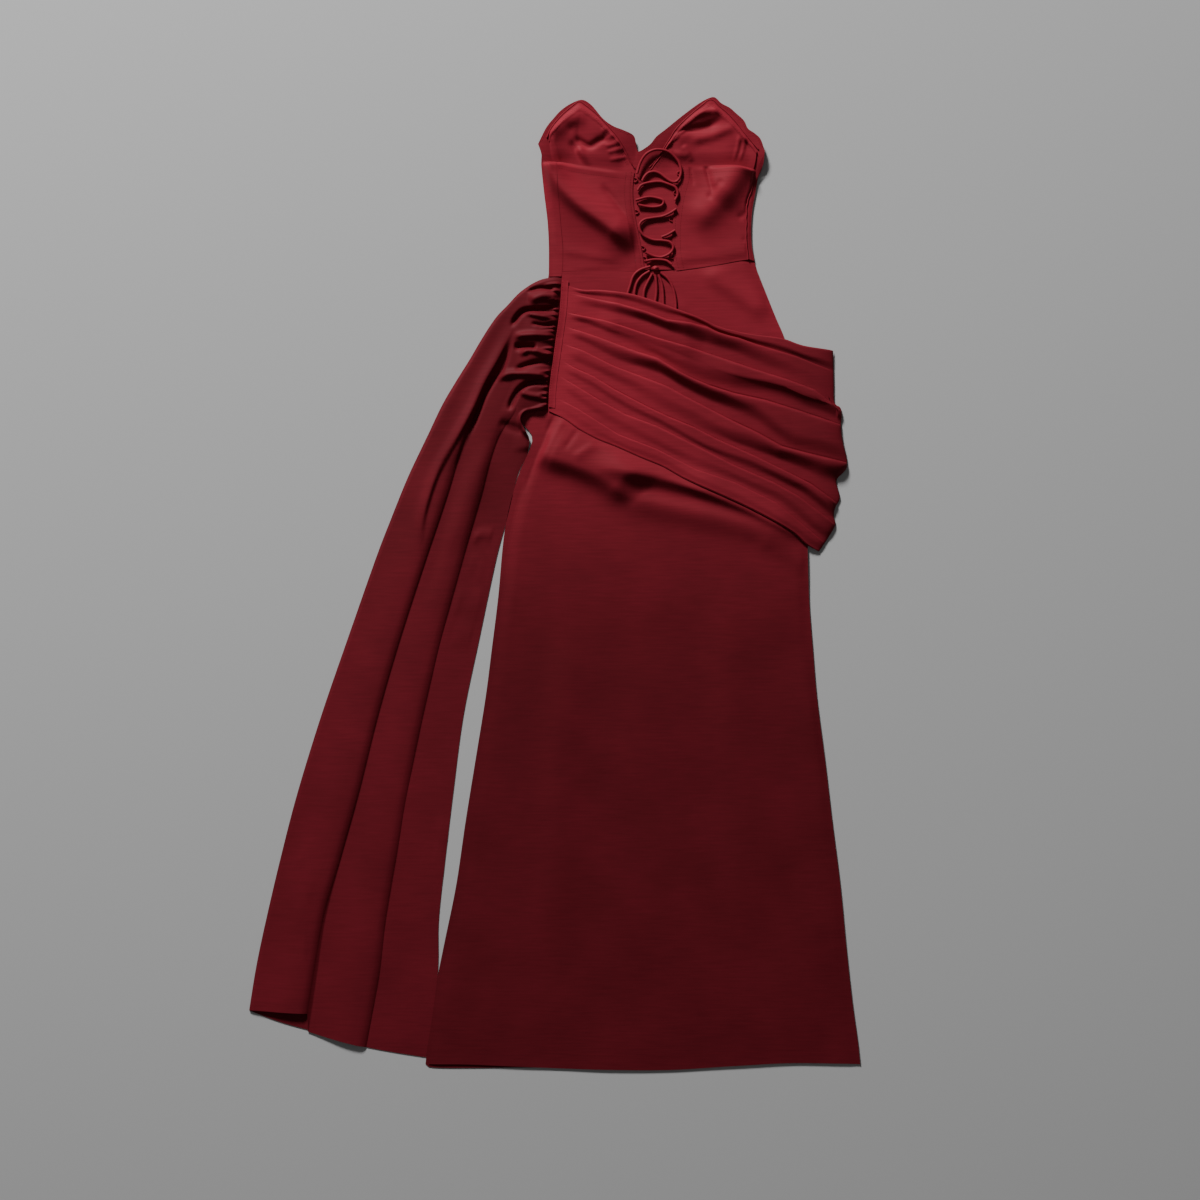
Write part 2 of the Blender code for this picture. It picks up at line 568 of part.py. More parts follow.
def build_drape():
    """The pleated hip drape: its back on the skirt, and its front beneath the front skirt."""
    seam_left = Path([(11.6, 449), (7.6, 408), (0.6, 357), (-7.4, 297), (-9.4, 258)])
    top = Path(shifted(DRAPE_TOP, DRAPE_OUT))
    right = Path(shifted(DRAPE_RIGHT, DRAPE_OUT))
    bottom = Path(shifted(DRAPE_BOTTOM, DRAPE_OUT))
    shares = [0.0, 0.025, 0.05, 0.085] + [0.13 + 0.0667 * k for k in range(12)]
    shares += [DRAPE_ROLL, 0.955, 0.98, 1.0]
    columns = []
    for s in shares:
        turn = max(s - DRAPE_ROLL, 0.0) / (1 - DRAPE_ROLL) * math.pi / 2
        across = DRAPE_ROLL + (1 - DRAPE_ROLL) * math.sin(turn) if s > DRAPE_ROLL else s
        beside_strip = smoothstep((across * DRAPE_WIDTH - STRIP_WIDTH - 1) / DRAPE_FADE)
        column = []
        for f, high in pleat_rows(s):
            x, y = coons(seam_left, right, top, bottom, across, f)
            over_bow = smoothstep((x - 62) / 34) * smoothstep((226 - x) / 34)
            over_bow *= smoothstep((0.3 - f) / 0.13)
            z = DRAPE_STEP + high * beside_strip + BOW_COVER * over_bow
            column.append((x, y, DRAPE_LOW + (z - DRAPE_LOW) * math.cos(turn)))
        columns.append(column)
    rows = []
    for k in range(len(columns[0])):
        rows.append([(shares[i], column[k]) for i, column in enumerate(columns)])
    cloth("drape_back", rows, BODICE_RED)

    def on_table(x, y, u, v):
        return 0.0

    edges = (Path([(6, 415), (-1, 340), (-6, 262)]), right, FRONT_TOP_PATH, bottom)
    cloth("drape_front", patch_rows(edges, even(9), 8, on_table), SKIRT_RED)


def build_strip():
    """The flat strip that covers the seam between the gathers and the drape."""

    def over_seam(x, y, u, v):
        return STRIP_STEP

    line = [(10.6, 455), (7.4, 408), (0.4, 357), (-7.6, 297), (-9.6, 264)]
    edges = (Path(line), Path(shifted(line, STRIP_WIDTH, -2)), Path([(10.6, 455), (20.6, 453)]),
             Path([(-9.6, 264), (0.4, 262)]))
    cloth("seam_strip", patch_rows(edges, even(12), 2, over_seam), BODICE_RED)


def build_train():
    """The side train: gathered into the left seam, then spread out on the table."""
    seam = Path([(10.2, 457), (6.2, 408), (-0.8, 357), (-8.8, 297), (-10.8, 260)])
    rows = []
    for k, row in enumerate(TRAIN):
        line = []
        for w in even(row.columns):
            if k == 0:
                x, y = seam.at(w)
            else:
                x = row.outer_x + (row.inner_x - row.outer_x) * w
                y = row.outer_y + (row.inner_y - row.outer_y) * w
            if k == len(TRAIN) - 1:
                y -= TRAIN_HEM_BOW * math.sin(math.pi * w)
            over = smoothstep((x - edge_x("front_left", y) + 30) / 24) * smoothstep((y - 194) / 12)
            z = TRAIN_STEP * over
            z += row.gather * (0.5 - 0.5 * math.cos(2 * math.pi * GATHERS * w))
            for crest in FOLD_CRESTS:
                z += row.fold * math.exp(-((w - crest) / FOLD_WIDTH) ** 2)
            grown = smoothstep((k - RIDGE_START[0]) / (RIDGE_START[1] - RIDGE_START[0]))
            for centre in (row.ridge_a, row.ridge_b):
                spread = RIDGE_SPREAD[0] if w < centre else RIDGE_SPREAD[1]
                z += grown * RIDGE_HEIGHT * math.exp(-((w - centre) / spread) ** 2)
            line.append((w, (x, y, z)))
        rows.append(line)
    cloth("train", rows, SKIRT_RED)


def lace_point(x, y):
    """A point of the lace: on the back's laced edges, sunk a little between them."""
    left = float(np.interp(-y, [-p[1] for p in BACK_LEFT_LACED], [p[0] for p in BACK_LEFT_LACED]))
    right = float(np.interp(-y, [-p[1] for p in BACK_RIGHT_LACED], [p[0] for p in BACK_RIGHT_LACED]))
    across = min(max((x - left) / (right - left), 0.0), 1.0)
    return x, y, cup_lift(x, y) + LACE_STEP - LACE_SAG * math.sin(math.pi * across) ** 2


def build_lacing():
    for k, strand in enumerate(LACE):
        tube("lace_%d" % (k + 1), [lace_point(x, y) for x, y in strand], LACE_RADIUS, CORD_RED)
    for side, heights, line, sign in (("left", LOOP_HEIGHTS_LEFT, BACK_LEFT_LACED, 1),
                                      ("right", LOOP_HEIGHTS_RIGHT, BACK_RIGHT_LACED, -1)):
        for k, y in enumerate(heights):
            route = []
            for turn in even(6):
                angle = math.pi * (turn - 0.5)
                py = y - LOOP_SPREAD * math.sin(angle)
                edge = float(np.interp(-py, [-p[1] for p in line], [p[0] for p in line]))
                px = edge + sign * (LOOP_START + LOOP_REACH * math.cos(angle))
                route.append((px, py, back_z(px, py) + 0.5 * WALL))
            tube("lacing_loop_%s_%d" % (side, k + 1), route, LOOP_RADIUS, CORD_RED, 1, 2.5)
    for k, route in enumerate(BOW_LOOPS):
        tube("bow_loop_%d" % (k + 1), [(x, y, BOW_STEP) for x, y in route], LACE_RADIUS, CORD_RED)
    for k, route in enumerate(BOW_TAILS):
        tube("bow_tail_%d" % (k + 1), [(x, y, BOW_STEP) for x, y in route], LACE_RADIUS, CORD_RED)
    knot = bpy.data.meshes.new("bow_knot")
    points = []
    faces = []
    rings, sides = 6, 10
    for i in range(1, rings):
        polar = math.pi * i / rings
        for j in range(sides):
            turn = 2 * math.pi * j / sides
            points.append((KNOT[0] + KNOT_RADIUS * 1.15 * math.sin(polar) * math.cos(turn),
                           KNOT[1] + KNOT_RADIUS * 0.85 * math.sin(polar) * math.sin(turn),
                           KNOT_STEP + KNOT_RADIUS * 0.8 * math.cos(polar)))
    first = len(points)
    points.append((KNOT[0], KNOT[1], KNOT_STEP + KNOT_RADIUS * 0.8))
    points.append((KNOT[0], KNOT[1], KNOT_STEP - KNOT_RADIUS * 0.8))
    for j in range(sides):
        nxt = (j + 1) % sides
        faces.append([first, j, nxt])
        faces.append([first + 1, (rings - 2) * sides + nxt, (rings - 2) * sides + j])
        for i in range(rings - 2):
            faces.append([i * sides + j, (i + 1) * sides + j, (i + 1) * sides + nxt, i * sides + nxt])
    knot.from_pydata((np.array(points) * MM).tolist(), [], faces)
    knot.update()
    knot.shade_smooth()
    piece = bpy.data.objects.new("bow_knot", knot)
    place(piece, CORD_RED, 0.5)


def main():
    for old in list(bpy.data.objects):
        bpy.data.objects.remove(old, do_unlink=True)
    datum = bpy.data.objects.new("dress", None)
    datum.location = (DATUM[0] * MM, DATUM[1] * MM, 0.0)
    bpy.context.scene.collection.objects.link(datum)
    build_front()
    build_lining()
    build_back_bodice()
    build_zip()
    build_back_skirt()
    build_drape()
    build_strip()
    build_train()
    build_lacing()


main()
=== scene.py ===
"""Looks of the corset dress that lies flat with its back upwards.

Lengths in the tables are millimetres in the dress's own plane, measured from its datum.  Creases are
noted by their places on the 1200 px photograph, where one pixel is 1.5 mm.
"""
import math

import bpy
import numpy as np
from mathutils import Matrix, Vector
from mathutils.bvhtree import BVHTree

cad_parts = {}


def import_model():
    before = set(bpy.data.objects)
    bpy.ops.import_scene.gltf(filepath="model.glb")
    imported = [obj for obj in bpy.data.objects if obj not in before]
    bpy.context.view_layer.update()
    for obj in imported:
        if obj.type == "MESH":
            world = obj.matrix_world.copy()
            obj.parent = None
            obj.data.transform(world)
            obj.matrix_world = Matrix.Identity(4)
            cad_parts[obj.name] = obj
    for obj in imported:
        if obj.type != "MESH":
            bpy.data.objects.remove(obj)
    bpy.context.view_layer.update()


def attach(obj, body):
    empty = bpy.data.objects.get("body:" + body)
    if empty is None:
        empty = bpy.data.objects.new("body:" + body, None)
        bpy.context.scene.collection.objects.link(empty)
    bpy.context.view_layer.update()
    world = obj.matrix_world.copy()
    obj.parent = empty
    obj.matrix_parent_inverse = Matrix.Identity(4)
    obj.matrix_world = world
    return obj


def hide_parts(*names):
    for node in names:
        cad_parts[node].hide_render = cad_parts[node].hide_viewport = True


MM = 0.001
PIXEL = 1.5
PIXEL_ORIGIN = (554.85, 583.2)
DATUM = (0.0, 1.7)
THICK = 0.7             # one layer of cloth
SEAM = 0.4
WAIST_TUCK = 2.2        # the skirt's top edge is sewn in under the bodice by this much

# heights of the layers' undersides over the table, as in the solids
CUP_RIM = 8.0
CUP_ROLL = 56.0
CUP_PUFF = 3.4
CUP_BEAD = 0.9
HIP_LIFT = 1.6
HIP_MARGIN = (12.0, 34.0)
HIP_FADE = (33.0, 60.0)
LINING_STEP = 2.05
LINING_OUT = 1.9        # each cup lining's edge stands this much further out than in the solids
BACK_STEP = 3.7
BACK_HEIGHT = 152.0
EDGE_TURN = 12.0        # turned cloth along the back's top edge and beside its lacing
HEM_STEP = 1.8
SKIRT_LENGTH = 1185.0
HEM_TURN = 19.0         # from the hem up to its row of stitching
EDGE_ROLL = 20.0
SOFT_CAP = 1.1          # how softly the skirt's creases are held below the drape
DRAPE_STEP = 5.3
DRAPE_LOW = 1.6
DRAPE_OUT = 0.6
DRAPE_ROLL = 0.93
DRAPE_WIDTH = 400.0
EDGE_LIFT = 7.0         # the skirt's crease holds the drape's lower edge up by this much
STRIP_STEP = 7.1
STRIP_WIDTH = 10.0
TRAIN_STEP = 3.4
LACE_RADIUS = 2.05
LACE_STEP = 7.2
LACE_SAG = 1.6
BOW_STEP = 6.7
BOW_COVER = 4.3
LOOP_RADIUS = 0.8
LOOP_START = 0.95
LOOP_REACH = 5.0
LOOP_SPREAD = 3.0
PIPING_RADIUS = 0.9
PIPING_OUT = 3.2
ZIP_IN = 1.2
ZIP_RADIUS = 0.8

# a crease fades over this share of its length at each end, and is nothing beyond so many times its spread
FOLD_ENDS = 0.22
FOLD_REACH = 2.6
THREAD_BAND = 0.314     # between the bands of a wave texture of scale 1
THREAD_DEPTH = 0.00012
MOTTLE = 0.10

# the skirt's sides at one height: y, left edge of the front, left edge of the back, right edge
SKIRT_COLUMNS = {"front_left": 1, "back_left": 2, "right": 3}
SKIRT = [
    (466, -9, 11, 304), (408, -16, 7, 327), (357, -24, 0, 347),
    (297, -36, -8, 357), (258, -54, -10, 362), (242, -52, -13, 364),
    (224, -35.5, -18, 367), (205, -36, -22, 370), (155, -57, -46, 374),
    (80, -75, -67, 378), (-21, -85, -80, 381), (-102, -95, -89, 387),
    (-172, -104, -99, 393), (-265, -119, -114, 405), (-358, -134, -129, 416),
    (-453, -148, -144, 428), (-546, -167, -162, 437), (-627, -183, -178, 446),
    (-685, -190, -185, 454), (-721, -194, -189, 458),
]
WAIST_BACK = [(11, 466), (68, 466.5), (128, 466), (182, 467), (233, 474), (273, 481), (299, 482)]
WAIST_FRONT = [(-9, 466)] + WAIST_BACK[1:]
HEM = [(-189, -717), (-127, -718), (-27, -723), (72, -727), (171, -728), (264, -723), (347, -719),
       (428, -720), (458, -721)]
HEM_FRONT = [(-193, -715), (-172, -721), (-27, -722), (72, -726), (171, -727), (264, -722),
             (347, -718), (428, -719), (458, -721)]
NECKLINE = [(-25, 657), (-13, 681), (-2, 695), (8, 706), (20, 715), (32, 721), (40, 723), (47, 721),
            (57, 713), (72, 695), (87, 684), (102, 678), (117, 671), (121, 662), (123, 648),
            (129, 648), (143, 657), (152, 668), (166, 679), (192, 700), (218, 719), (235, 727),
            (242, 725), (249, 718), (262, 711), (270, 704), (283, 692), (289, 680), (299, 673),
            (308, 664), (314, 647)]
SIDE_LEFT = [(-25, 657), (-20, 642), (-20, 626), (-16, 585), (-11, 543), (-9, 506), (-9, 467)]
SIDE_RIGHT = [(314, 647), (312, 627), (306, 615), (301, 588), (296, 561), (294, 531), (295, 506),
              (299, 483)]
LINING_EDGE_LEFT = [(-9, 665), (-2, 680), (13, 698), (32, 714), (37, 717), (42, 714), (62, 698),
                    (78, 681), (92, 665), (103, 648), (112, 630), (117, 621)]
LINING_EDGE_RIGHT = [(144, 621), (150, 627), (161, 641), (170, 656), (176, 665), (182, 675),
                     (192, 686), (205, 698), (223, 713), (234, 720), (244, 711), (257, 700),
                     (270, 686), (280, 673), (290, 661), (302, 647)]
BACK_LEFT_TOP = [(2, 630), (12, 630), (38, 626), (62, 623), (87, 620), (119, 616)]
BACK_LEFT_SEAM = [(2, 630), (5, 590), (9, 537), (12, 500), (11, 467)]
BACK_LEFT_LACED = [(119, 616), (117, 597), (117, 575), (121, 545), (128, 510), (133, 479), (134, 467)]
BACK_RIGHT_TOP = [(189, 624), (212, 625), (244, 626), (270, 626), (289, 622), (300, 618)]
BACK_RIGHT_LACED = [(189, 624), (189, 605), (183, 582), (179, 561), (176, 527), (177, 492), (182, 468)]
ZIP_LINE = [(300, 618), (297, 593), (289, 567), (288, 537), (288, 515), (291, 485)]
DRAPE_TOP = [(11, 449), (38, 439), (68, 438), (107, 433), (128, 428), (158, 418), (185, 408),
             (218, 396), (246, 383), (287, 373), (338, 366), (371, 355), (416, 348)]
DRAPE_RIGHT = [(416, 348), (417, 299), (418, 270), (427, 263), (429, 251), (428, 236), (430, 215),
               (436, 189), (437, 178), (434, 169), (421, 155), (424, 138), (426, 126), (419, 113),
               (417, 99), (419, 87), (407, 66), (395, 48)]
DRAPE_BOTTOM = [(-10, 258), (15, 246), (36, 231), (64, 216), (92, 205), (128, 189), (162, 175),
                (190, 159), (215, 147), (251, 131), (288, 114), (330, 92), (358, 75), (377, 58),
                (395, 48)]
FRONT_DRAPE_TOP = [(6, 415), (120, 400), (250, 366), (338, 354), (416, 346)]

# one section of the train: its outer end's x and y, its inner end's x and y, the shares of the way
# across at which its two folds lie, and how much it puffs up
TRAIN = [
    (10.2, 457, -10.8, 260, 0.24, 0.86, 0.0),
    (0, 458, -16, 259.5, 0.24, 0.86, 3.6),
    (-12, 456.5, -23, 259, 0.24, 0.86, 6.4),
    (-24, 453, -32, 258, 0.23, 0.86, 7.8),
    (-38, 446, -41, 256, 0.21, 0.86, 8.4),
    (-54, 434, -48, 251, 0.20, 0.86, 8.2),
    (-70, 417, -51, 243, 0.23, 0.84, 7.2),
    (-88, 398, -50, 234, 0.29, 0.81, 6.0),
    (-108, 368, -44, 226, 0.32, 0.77, 4.4),
    (-128, 334, -39, 217, 0.33, 0.72, 3.2),
    (-148, 302, -39, 206, 0.33, 0.68, 2.2),
    (-169, 266, -42.5, 190, 0.35, 0.66, 1.4),
    (-190, 222, -55, 165, 0.37, 0.69, 0.8),
    (-220, 159, -63.6, 130, 0.41, 0.715, 0.4),
    (-246, 95, -72.8, 92, 0.42, 0.72, 0.2),
    (-269, 35, -88, 36, 0.42, 0.725, 0.1),
    (-310, -82, -113, -82, 0.40, 0.71, 0.0),
    (-350, -198, -137, -198, 0.40, 0.715, 0.0),
    (-386, -315, -152, -311, 0.395, 0.705, 0.0),
    (-411, -411, -164, -411, 0.365, 0.70, 0.0),
    (-431, -498, -174, -505, 0.335, 0.69, 0.0),
    (-447, -574, -176, -589, 0.33, 0.675, 0.0),
    (-458, -640, -193.3, -711, 0.33, 0.66, 0.0),
]
STRIP_LINE = [(10.6, 455), (7.4, 408), (0.4, 357), (-7.6, 297), (-9.6, 264)]
TRAIN_SEAM = [(10.2, 457), (6.2, 408), (-0.8, 357), (-8.8, 297), (-10.8, 260)]
TRAIN_HEM_BOW = 10.0
# across a fold of the train, from the panel that lies on top to the one below it: place in
# millimetres from the fold, and share of the fold's height
STEP_PROFILE = [(-22, 1.0), (-16, 0.98), (-12, 0.93), (-9, 0.85), (-6.5, 0.72), (-4.5, 0.58), (-3, 0.45),
                (-1.8, 0.33), (-0.9, 0.22), (-0.3, 0.14), (0, 0.10), (0.3, 0.04), (1, 0.0), (6, 0.0)]
STEP_HEIGHT = 6.0
STEP_SPREAD = 48.0

# the lace's visible stretches, one after the other, and the bow
LACE = [
    [(123, 613), (128, 629), (136, 641), (147, 647), (158, 648), (170, 645), (179, 638), (186, 629),
     (189, 617), (187, 607), (182, 601), (175, 601), (167, 606), (158, 613), (149, 616), (140, 614),
     (134, 608), (131, 602)],
    [(124, 588), (130, 596), (143, 600), (158, 601), (171, 597), (181, 592), (184, 582), (180, 573)],
    [(121, 573), (140, 578), (155, 576), (163, 572), (159, 565), (144, 563), (125, 566)],
    [(182, 560), (173, 554), (161, 549), (147, 547), (134, 544), (127, 537), (128, 527), (135, 519),
     (147, 514), (160, 513), (171, 511), (177, 505), (176, 498), (170, 492), (159, 488), (147, 490),
     (136, 495)],
    [(180, 528), (170, 522), (160, 518)],
    [(136, 482), (150, 484.5), (166, 483), (175, 477)],
]
KNOT = (151, 471)
KNOT_RADIUS = 4.6
KNOT_STEP = 7.35
BOW_LOOPS = [
    [(143, 474), (128, 469), (118, 460), (113, 446), (108, 428), (109, 414), (114, 407), (120, 412),
     (119, 430), (122, 447), (130, 459), (142, 467)],
    [(158, 465), (170, 455), (177, 441), (181, 420), (180, 404), (175, 395), (167, 399), (163, 413),
     (162, 432), (160, 448), (155, 462)],
]
BOW_TAILS = [
    [(146, 463), (140, 452), (134, 438), (133, 420), (136, 404), (140, 394)],
    [(150.5, 461), (152, 448), (152, 434), (150, 416), (151, 400), (155, 388)],
]
LOOP_HEIGHTS_LEFT = [604, 556, 531, 502, 486]
LOOP_HEIGHTS_RIGHT = [614, 585, 545, 515, 489]

# a crease: its line in photograph pixels, how high it stands (below zero: how deep it is) and how far
# it spreads to the left and to the right of a walk along it
BACK_LEFT_FOLDS = [
    ([(526, 136), (547, 168), (561, 189), (581, 207), (602, 223), (623, 239), (642, 254)], 9.0, 27, 33),
    ([(528, 140), (548, 170), (562, 190), (581, 208), (602, 223), (623, 239), (640, 252)], 10.5, 24, 11),
    ([(600, 184), (612, 198), (622, 212), (634, 228)], -2.2, 5, 6),
    ([(560, 166), (592, 168), (622, 180)], 0.8, 8, 8),
    ([(556, 250), (590, 256), (622, 262)], 0.9, 9, 6),
]
BACK_RIGHT_FOLDS = [
    ([(756, 140), (748, 156), (739, 171), (727, 189), (713, 206), (698, 221), (686, 230)], 8.5, 20, 24),
    ([(758, 136), (748, 156), (738, 172), (726, 188), (712, 202)], 6.0, 38, 34),
    ([(703, 156), (708, 176), (713, 196)], -3.0, 5, 4),
    ([(722, 180), (714, 192), (706, 202)], -1.6, 5, 5),
    ([(689, 160), (691, 174), (694, 188)], -1.0, 3, 3),
    ([(660, 263), (679, 260), (707, 257), (737, 253), (760, 250)], 1.1, 14, 7),
    ([(756, 210), (746, 214), (736, 220)], -1.2, 5, 5),
    ([(756, 234), (748, 238), (741, 243)], -0.8, 4, 4),
]
CUP_LEFT_FOLDS = [
    ([(540, 146), (556, 130), (572, 121), (590, 118)], 3.4, 10, 12),
    ([(574, 136), (581, 143), (590, 147), (600, 142), (612, 137)], -4.4, 5, 4.5),
    ([(577, 147), (583, 157), (590, 170)], 3.4, 5, 5),
    ([(570, 140), (577, 155), (583, 172)], -2.6, 5, 5),
    ([(553, 112), (562, 124), (575, 134)], -1.4, 8, 8),
    ([(600, 134), (606, 131), (616, 126)], 1.5, 2.5, 2.5),
    ([(602, 141), (609, 139), (619, 134)], 1.5, 2.5, 2.5),
    ([(604, 148), (612, 146), (622, 142)], 1.5, 2.5, 2.5),
    ([(606, 154), (614, 152), (625, 149)], 1.4, 2.5, 2.5),
    ([(608, 161), (616, 160), (628, 157)], 1.2, 2.5, 2.5),
    ([(547, 138), (550, 149), (556, 164)], 1.5, 2.2, 2.2),
    ([(552, 138), (556, 150), (562, 164)], 1.1, 1.8, 1.8),
]
CUP_RIGHT_FOLDS = [
    ([(676, 124), (690, 117), (706, 113), (725, 112)], 3.4, 6, 6),
    ([(668, 134), (690, 131), (708, 127), (724, 119)], -3.6, 6, 6),
    ([(690, 112), (704, 110), (722, 106)], -2.8, 4, 4),
    ([(694, 108), (704, 106), (716, 105)], -1.4, 3, 3),
    ([(688, 141), (704, 139), (722, 133), (738, 127)], 2.8, 7, 7),
    ([(671, 139), (678, 136), (686, 131)], 1.4, 2.5, 2.5),
    ([(665, 146), (672, 142), (680, 137)], 1.4, 2.5, 2.5),
    ([(658, 152), (665, 148), (673, 143)], 1.4, 2.5, 2.5),
    ([(739, 136), (737, 149), (733, 164)], 1.5, 2.2, 2.2),
    ([(745, 137), (743, 150), (739, 164)], 1.5, 2.2, 2.2),
    ([(744, 138), (750, 152), (757, 170)], -3.2, 10, 10),
    ([(682, 146), (688, 154), (692, 164)], 2.2, 4, 4),
    ([(666, 152), (676, 155), (690, 158)], 1.6, 6, 6),
]
SKIRT_FOLDS = [
    ([(700, 266), (718, 282), (742, 298), (768, 320)], 3.4, 18, 12),
    ([(655, 300), (668, 306), (690, 310)], 0.8, 8, 8),
    ([(548, 408), (539, 428), (531, 450), (524, 470)], 2.6, 5, 5),
    ([(557, 410), (548, 429), (538, 452), (529, 474), (523, 496)], -2.6, 4, 3),
    ([(569, 412), (559, 428), (548, 448), (538, 470)], 1.6, 5, 6),
    ([(582, 424), (574, 436), (563, 452)], -1.4, 4, 4),
    ([(532, 446), (553, 457), (575, 464), (600, 475), (622, 491), (634, 503)], 13.0, 46, 18),
    ([(586, 462), (604, 467), (640, 473), (668, 479), (690, 484), (712, 491), (745, 504), (775, 519),
     (806, 538)], 9.5, 26, 13),
    ([(668, 476), (690, 483), (712, 490), (745, 503), (775, 518), (812, 544)], 5.0, 14, 9),
    ([(604, 492), (630, 499), (670, 508), (728, 521), (768, 533), (800, 545)], 5.5, 14, 20),
    ([(572, 460), (583, 452), (592, 446), (604, 438)], 1.6, 5, 8),
    ([(606, 448), (622, 454), (640, 461)], -0.9, 6, 6),
    ([(756, 536), (790, 556), (812, 570)], 1.5, 18, 14),
    ([(568, 610), (560, 783), (548, 957)], 2.2, 34, 26),
    ([(721, 570), (733, 757), (749, 983)], 2.0, 40, 30),
    ([(640, 640), (648, 800), (652, 1010)], 0.9, 44, 44),
    ([(800, 640), (815, 800), (830, 990)], 0.9, 30, 30),
]
TRAIN_FOLDS = [
    ([(432, 440), (452, 396), (474, 357), (506, 307), (530, 285), (552, 279)], 1.8, 5, 10),
    ([(556, 291), (541, 289), (526, 292)], -5.1, 3, 4),
    ([(528, 302), (543, 297), (560, 298)], 6.3, 7, 6),
    ([(560, 309), (543, 310), (525, 311), (516, 319), (511, 329)], -10.5, 4, 3.5),
    ([(516, 320), (508, 338), (496, 362), (484, 384), (474, 408), (456, 440), (440, 468), (430, 494),
     (423, 522), (421, 556)], 4.2, 3.5, 9),
    ([(492, 384), (480, 402), (468, 424), (452, 470)], 2.0, 4, 9),
    ([(524, 314), (540, 317), (560, 321)], 3.9, 4, 3),
    ([(530, 324), (543, 326), (556, 327)], -3.6, 3, 3),
    ([(513, 337), (534, 336), (557, 337)], 5.7, 5, 4),
    ([(513, 347), (524, 347), (538, 348)], -8.2, 5, 5),
    ([(519, 357), (529, 351), (544, 354), (556, 355)], 5.1, 4, 4),
    ([(514, 371), (526, 366), (539, 363), (554, 363)], -5.7, 4, 4),
    ([(497, 382), (509, 375), (532, 375), (551, 377)], 5.7, 6, 4),
    ([(551, 382), (533, 383), (521, 389), (514, 399), (508, 413)], -9.8, 4, 4),
    ([(520, 390), (526, 395), (545, 398)], 3.6, 4, 4),
    ([(549, 406), (533, 411), (524, 414), (521, 421), (524, 430), (531, 440)], 6.3, 3.5, 3.5),
    ([(512, 338), (503, 367), (493, 381), (484, 397), (478, 412), (467, 438)], -6.3, 4, 5),
    ([(498, 421), (510, 427), (526, 431)], -2.7, 7, 7),
    ([(490, 440), (476, 480), (462, 520), (452, 556)], 2.0, 16, 14),
    ([(470, 440), (452, 500), (436, 560), (424, 610)], -1.2, 12, 12),
    ([(452, 600), (464, 606), (476, 604), (484, 598)], 2.2, 7, 7),
    ([(450, 628), (462, 634), (474, 632)], 1.6, 6, 6),
    ([(472, 540), (482, 534), (494, 536)], 2.2, 5, 5),
    ([(468, 556), (478, 566), (482, 584)], 1.2, 6, 6),
    ([(437, 820), (442, 832), (447, 846)], 0.9, 4, 4),
    ([(434, 850), (440, 866), (444, 884)], 0.9, 4, 4),
    ([(300, 846), (308, 872), (312, 900)], 0.8, 5, 5),
    ([(296, 900), (304, 930), (306, 962)], 0.8, 5, 5),
]

# photograph y of the small gathers along the train's seam, and of the seam's two ends
GATHER_PX = [285, 292, 301, 310, 316, 322, 328, 332, 341, 349, 355, 363, 372, 378, 382, 388, 394, 399,
             405]
GATHER_RANGE = (278.5, 409.9)
GATHER_HEIGHT = 4.2
GATHER_WIDTH = 0.0105   # as a share of the way across the train

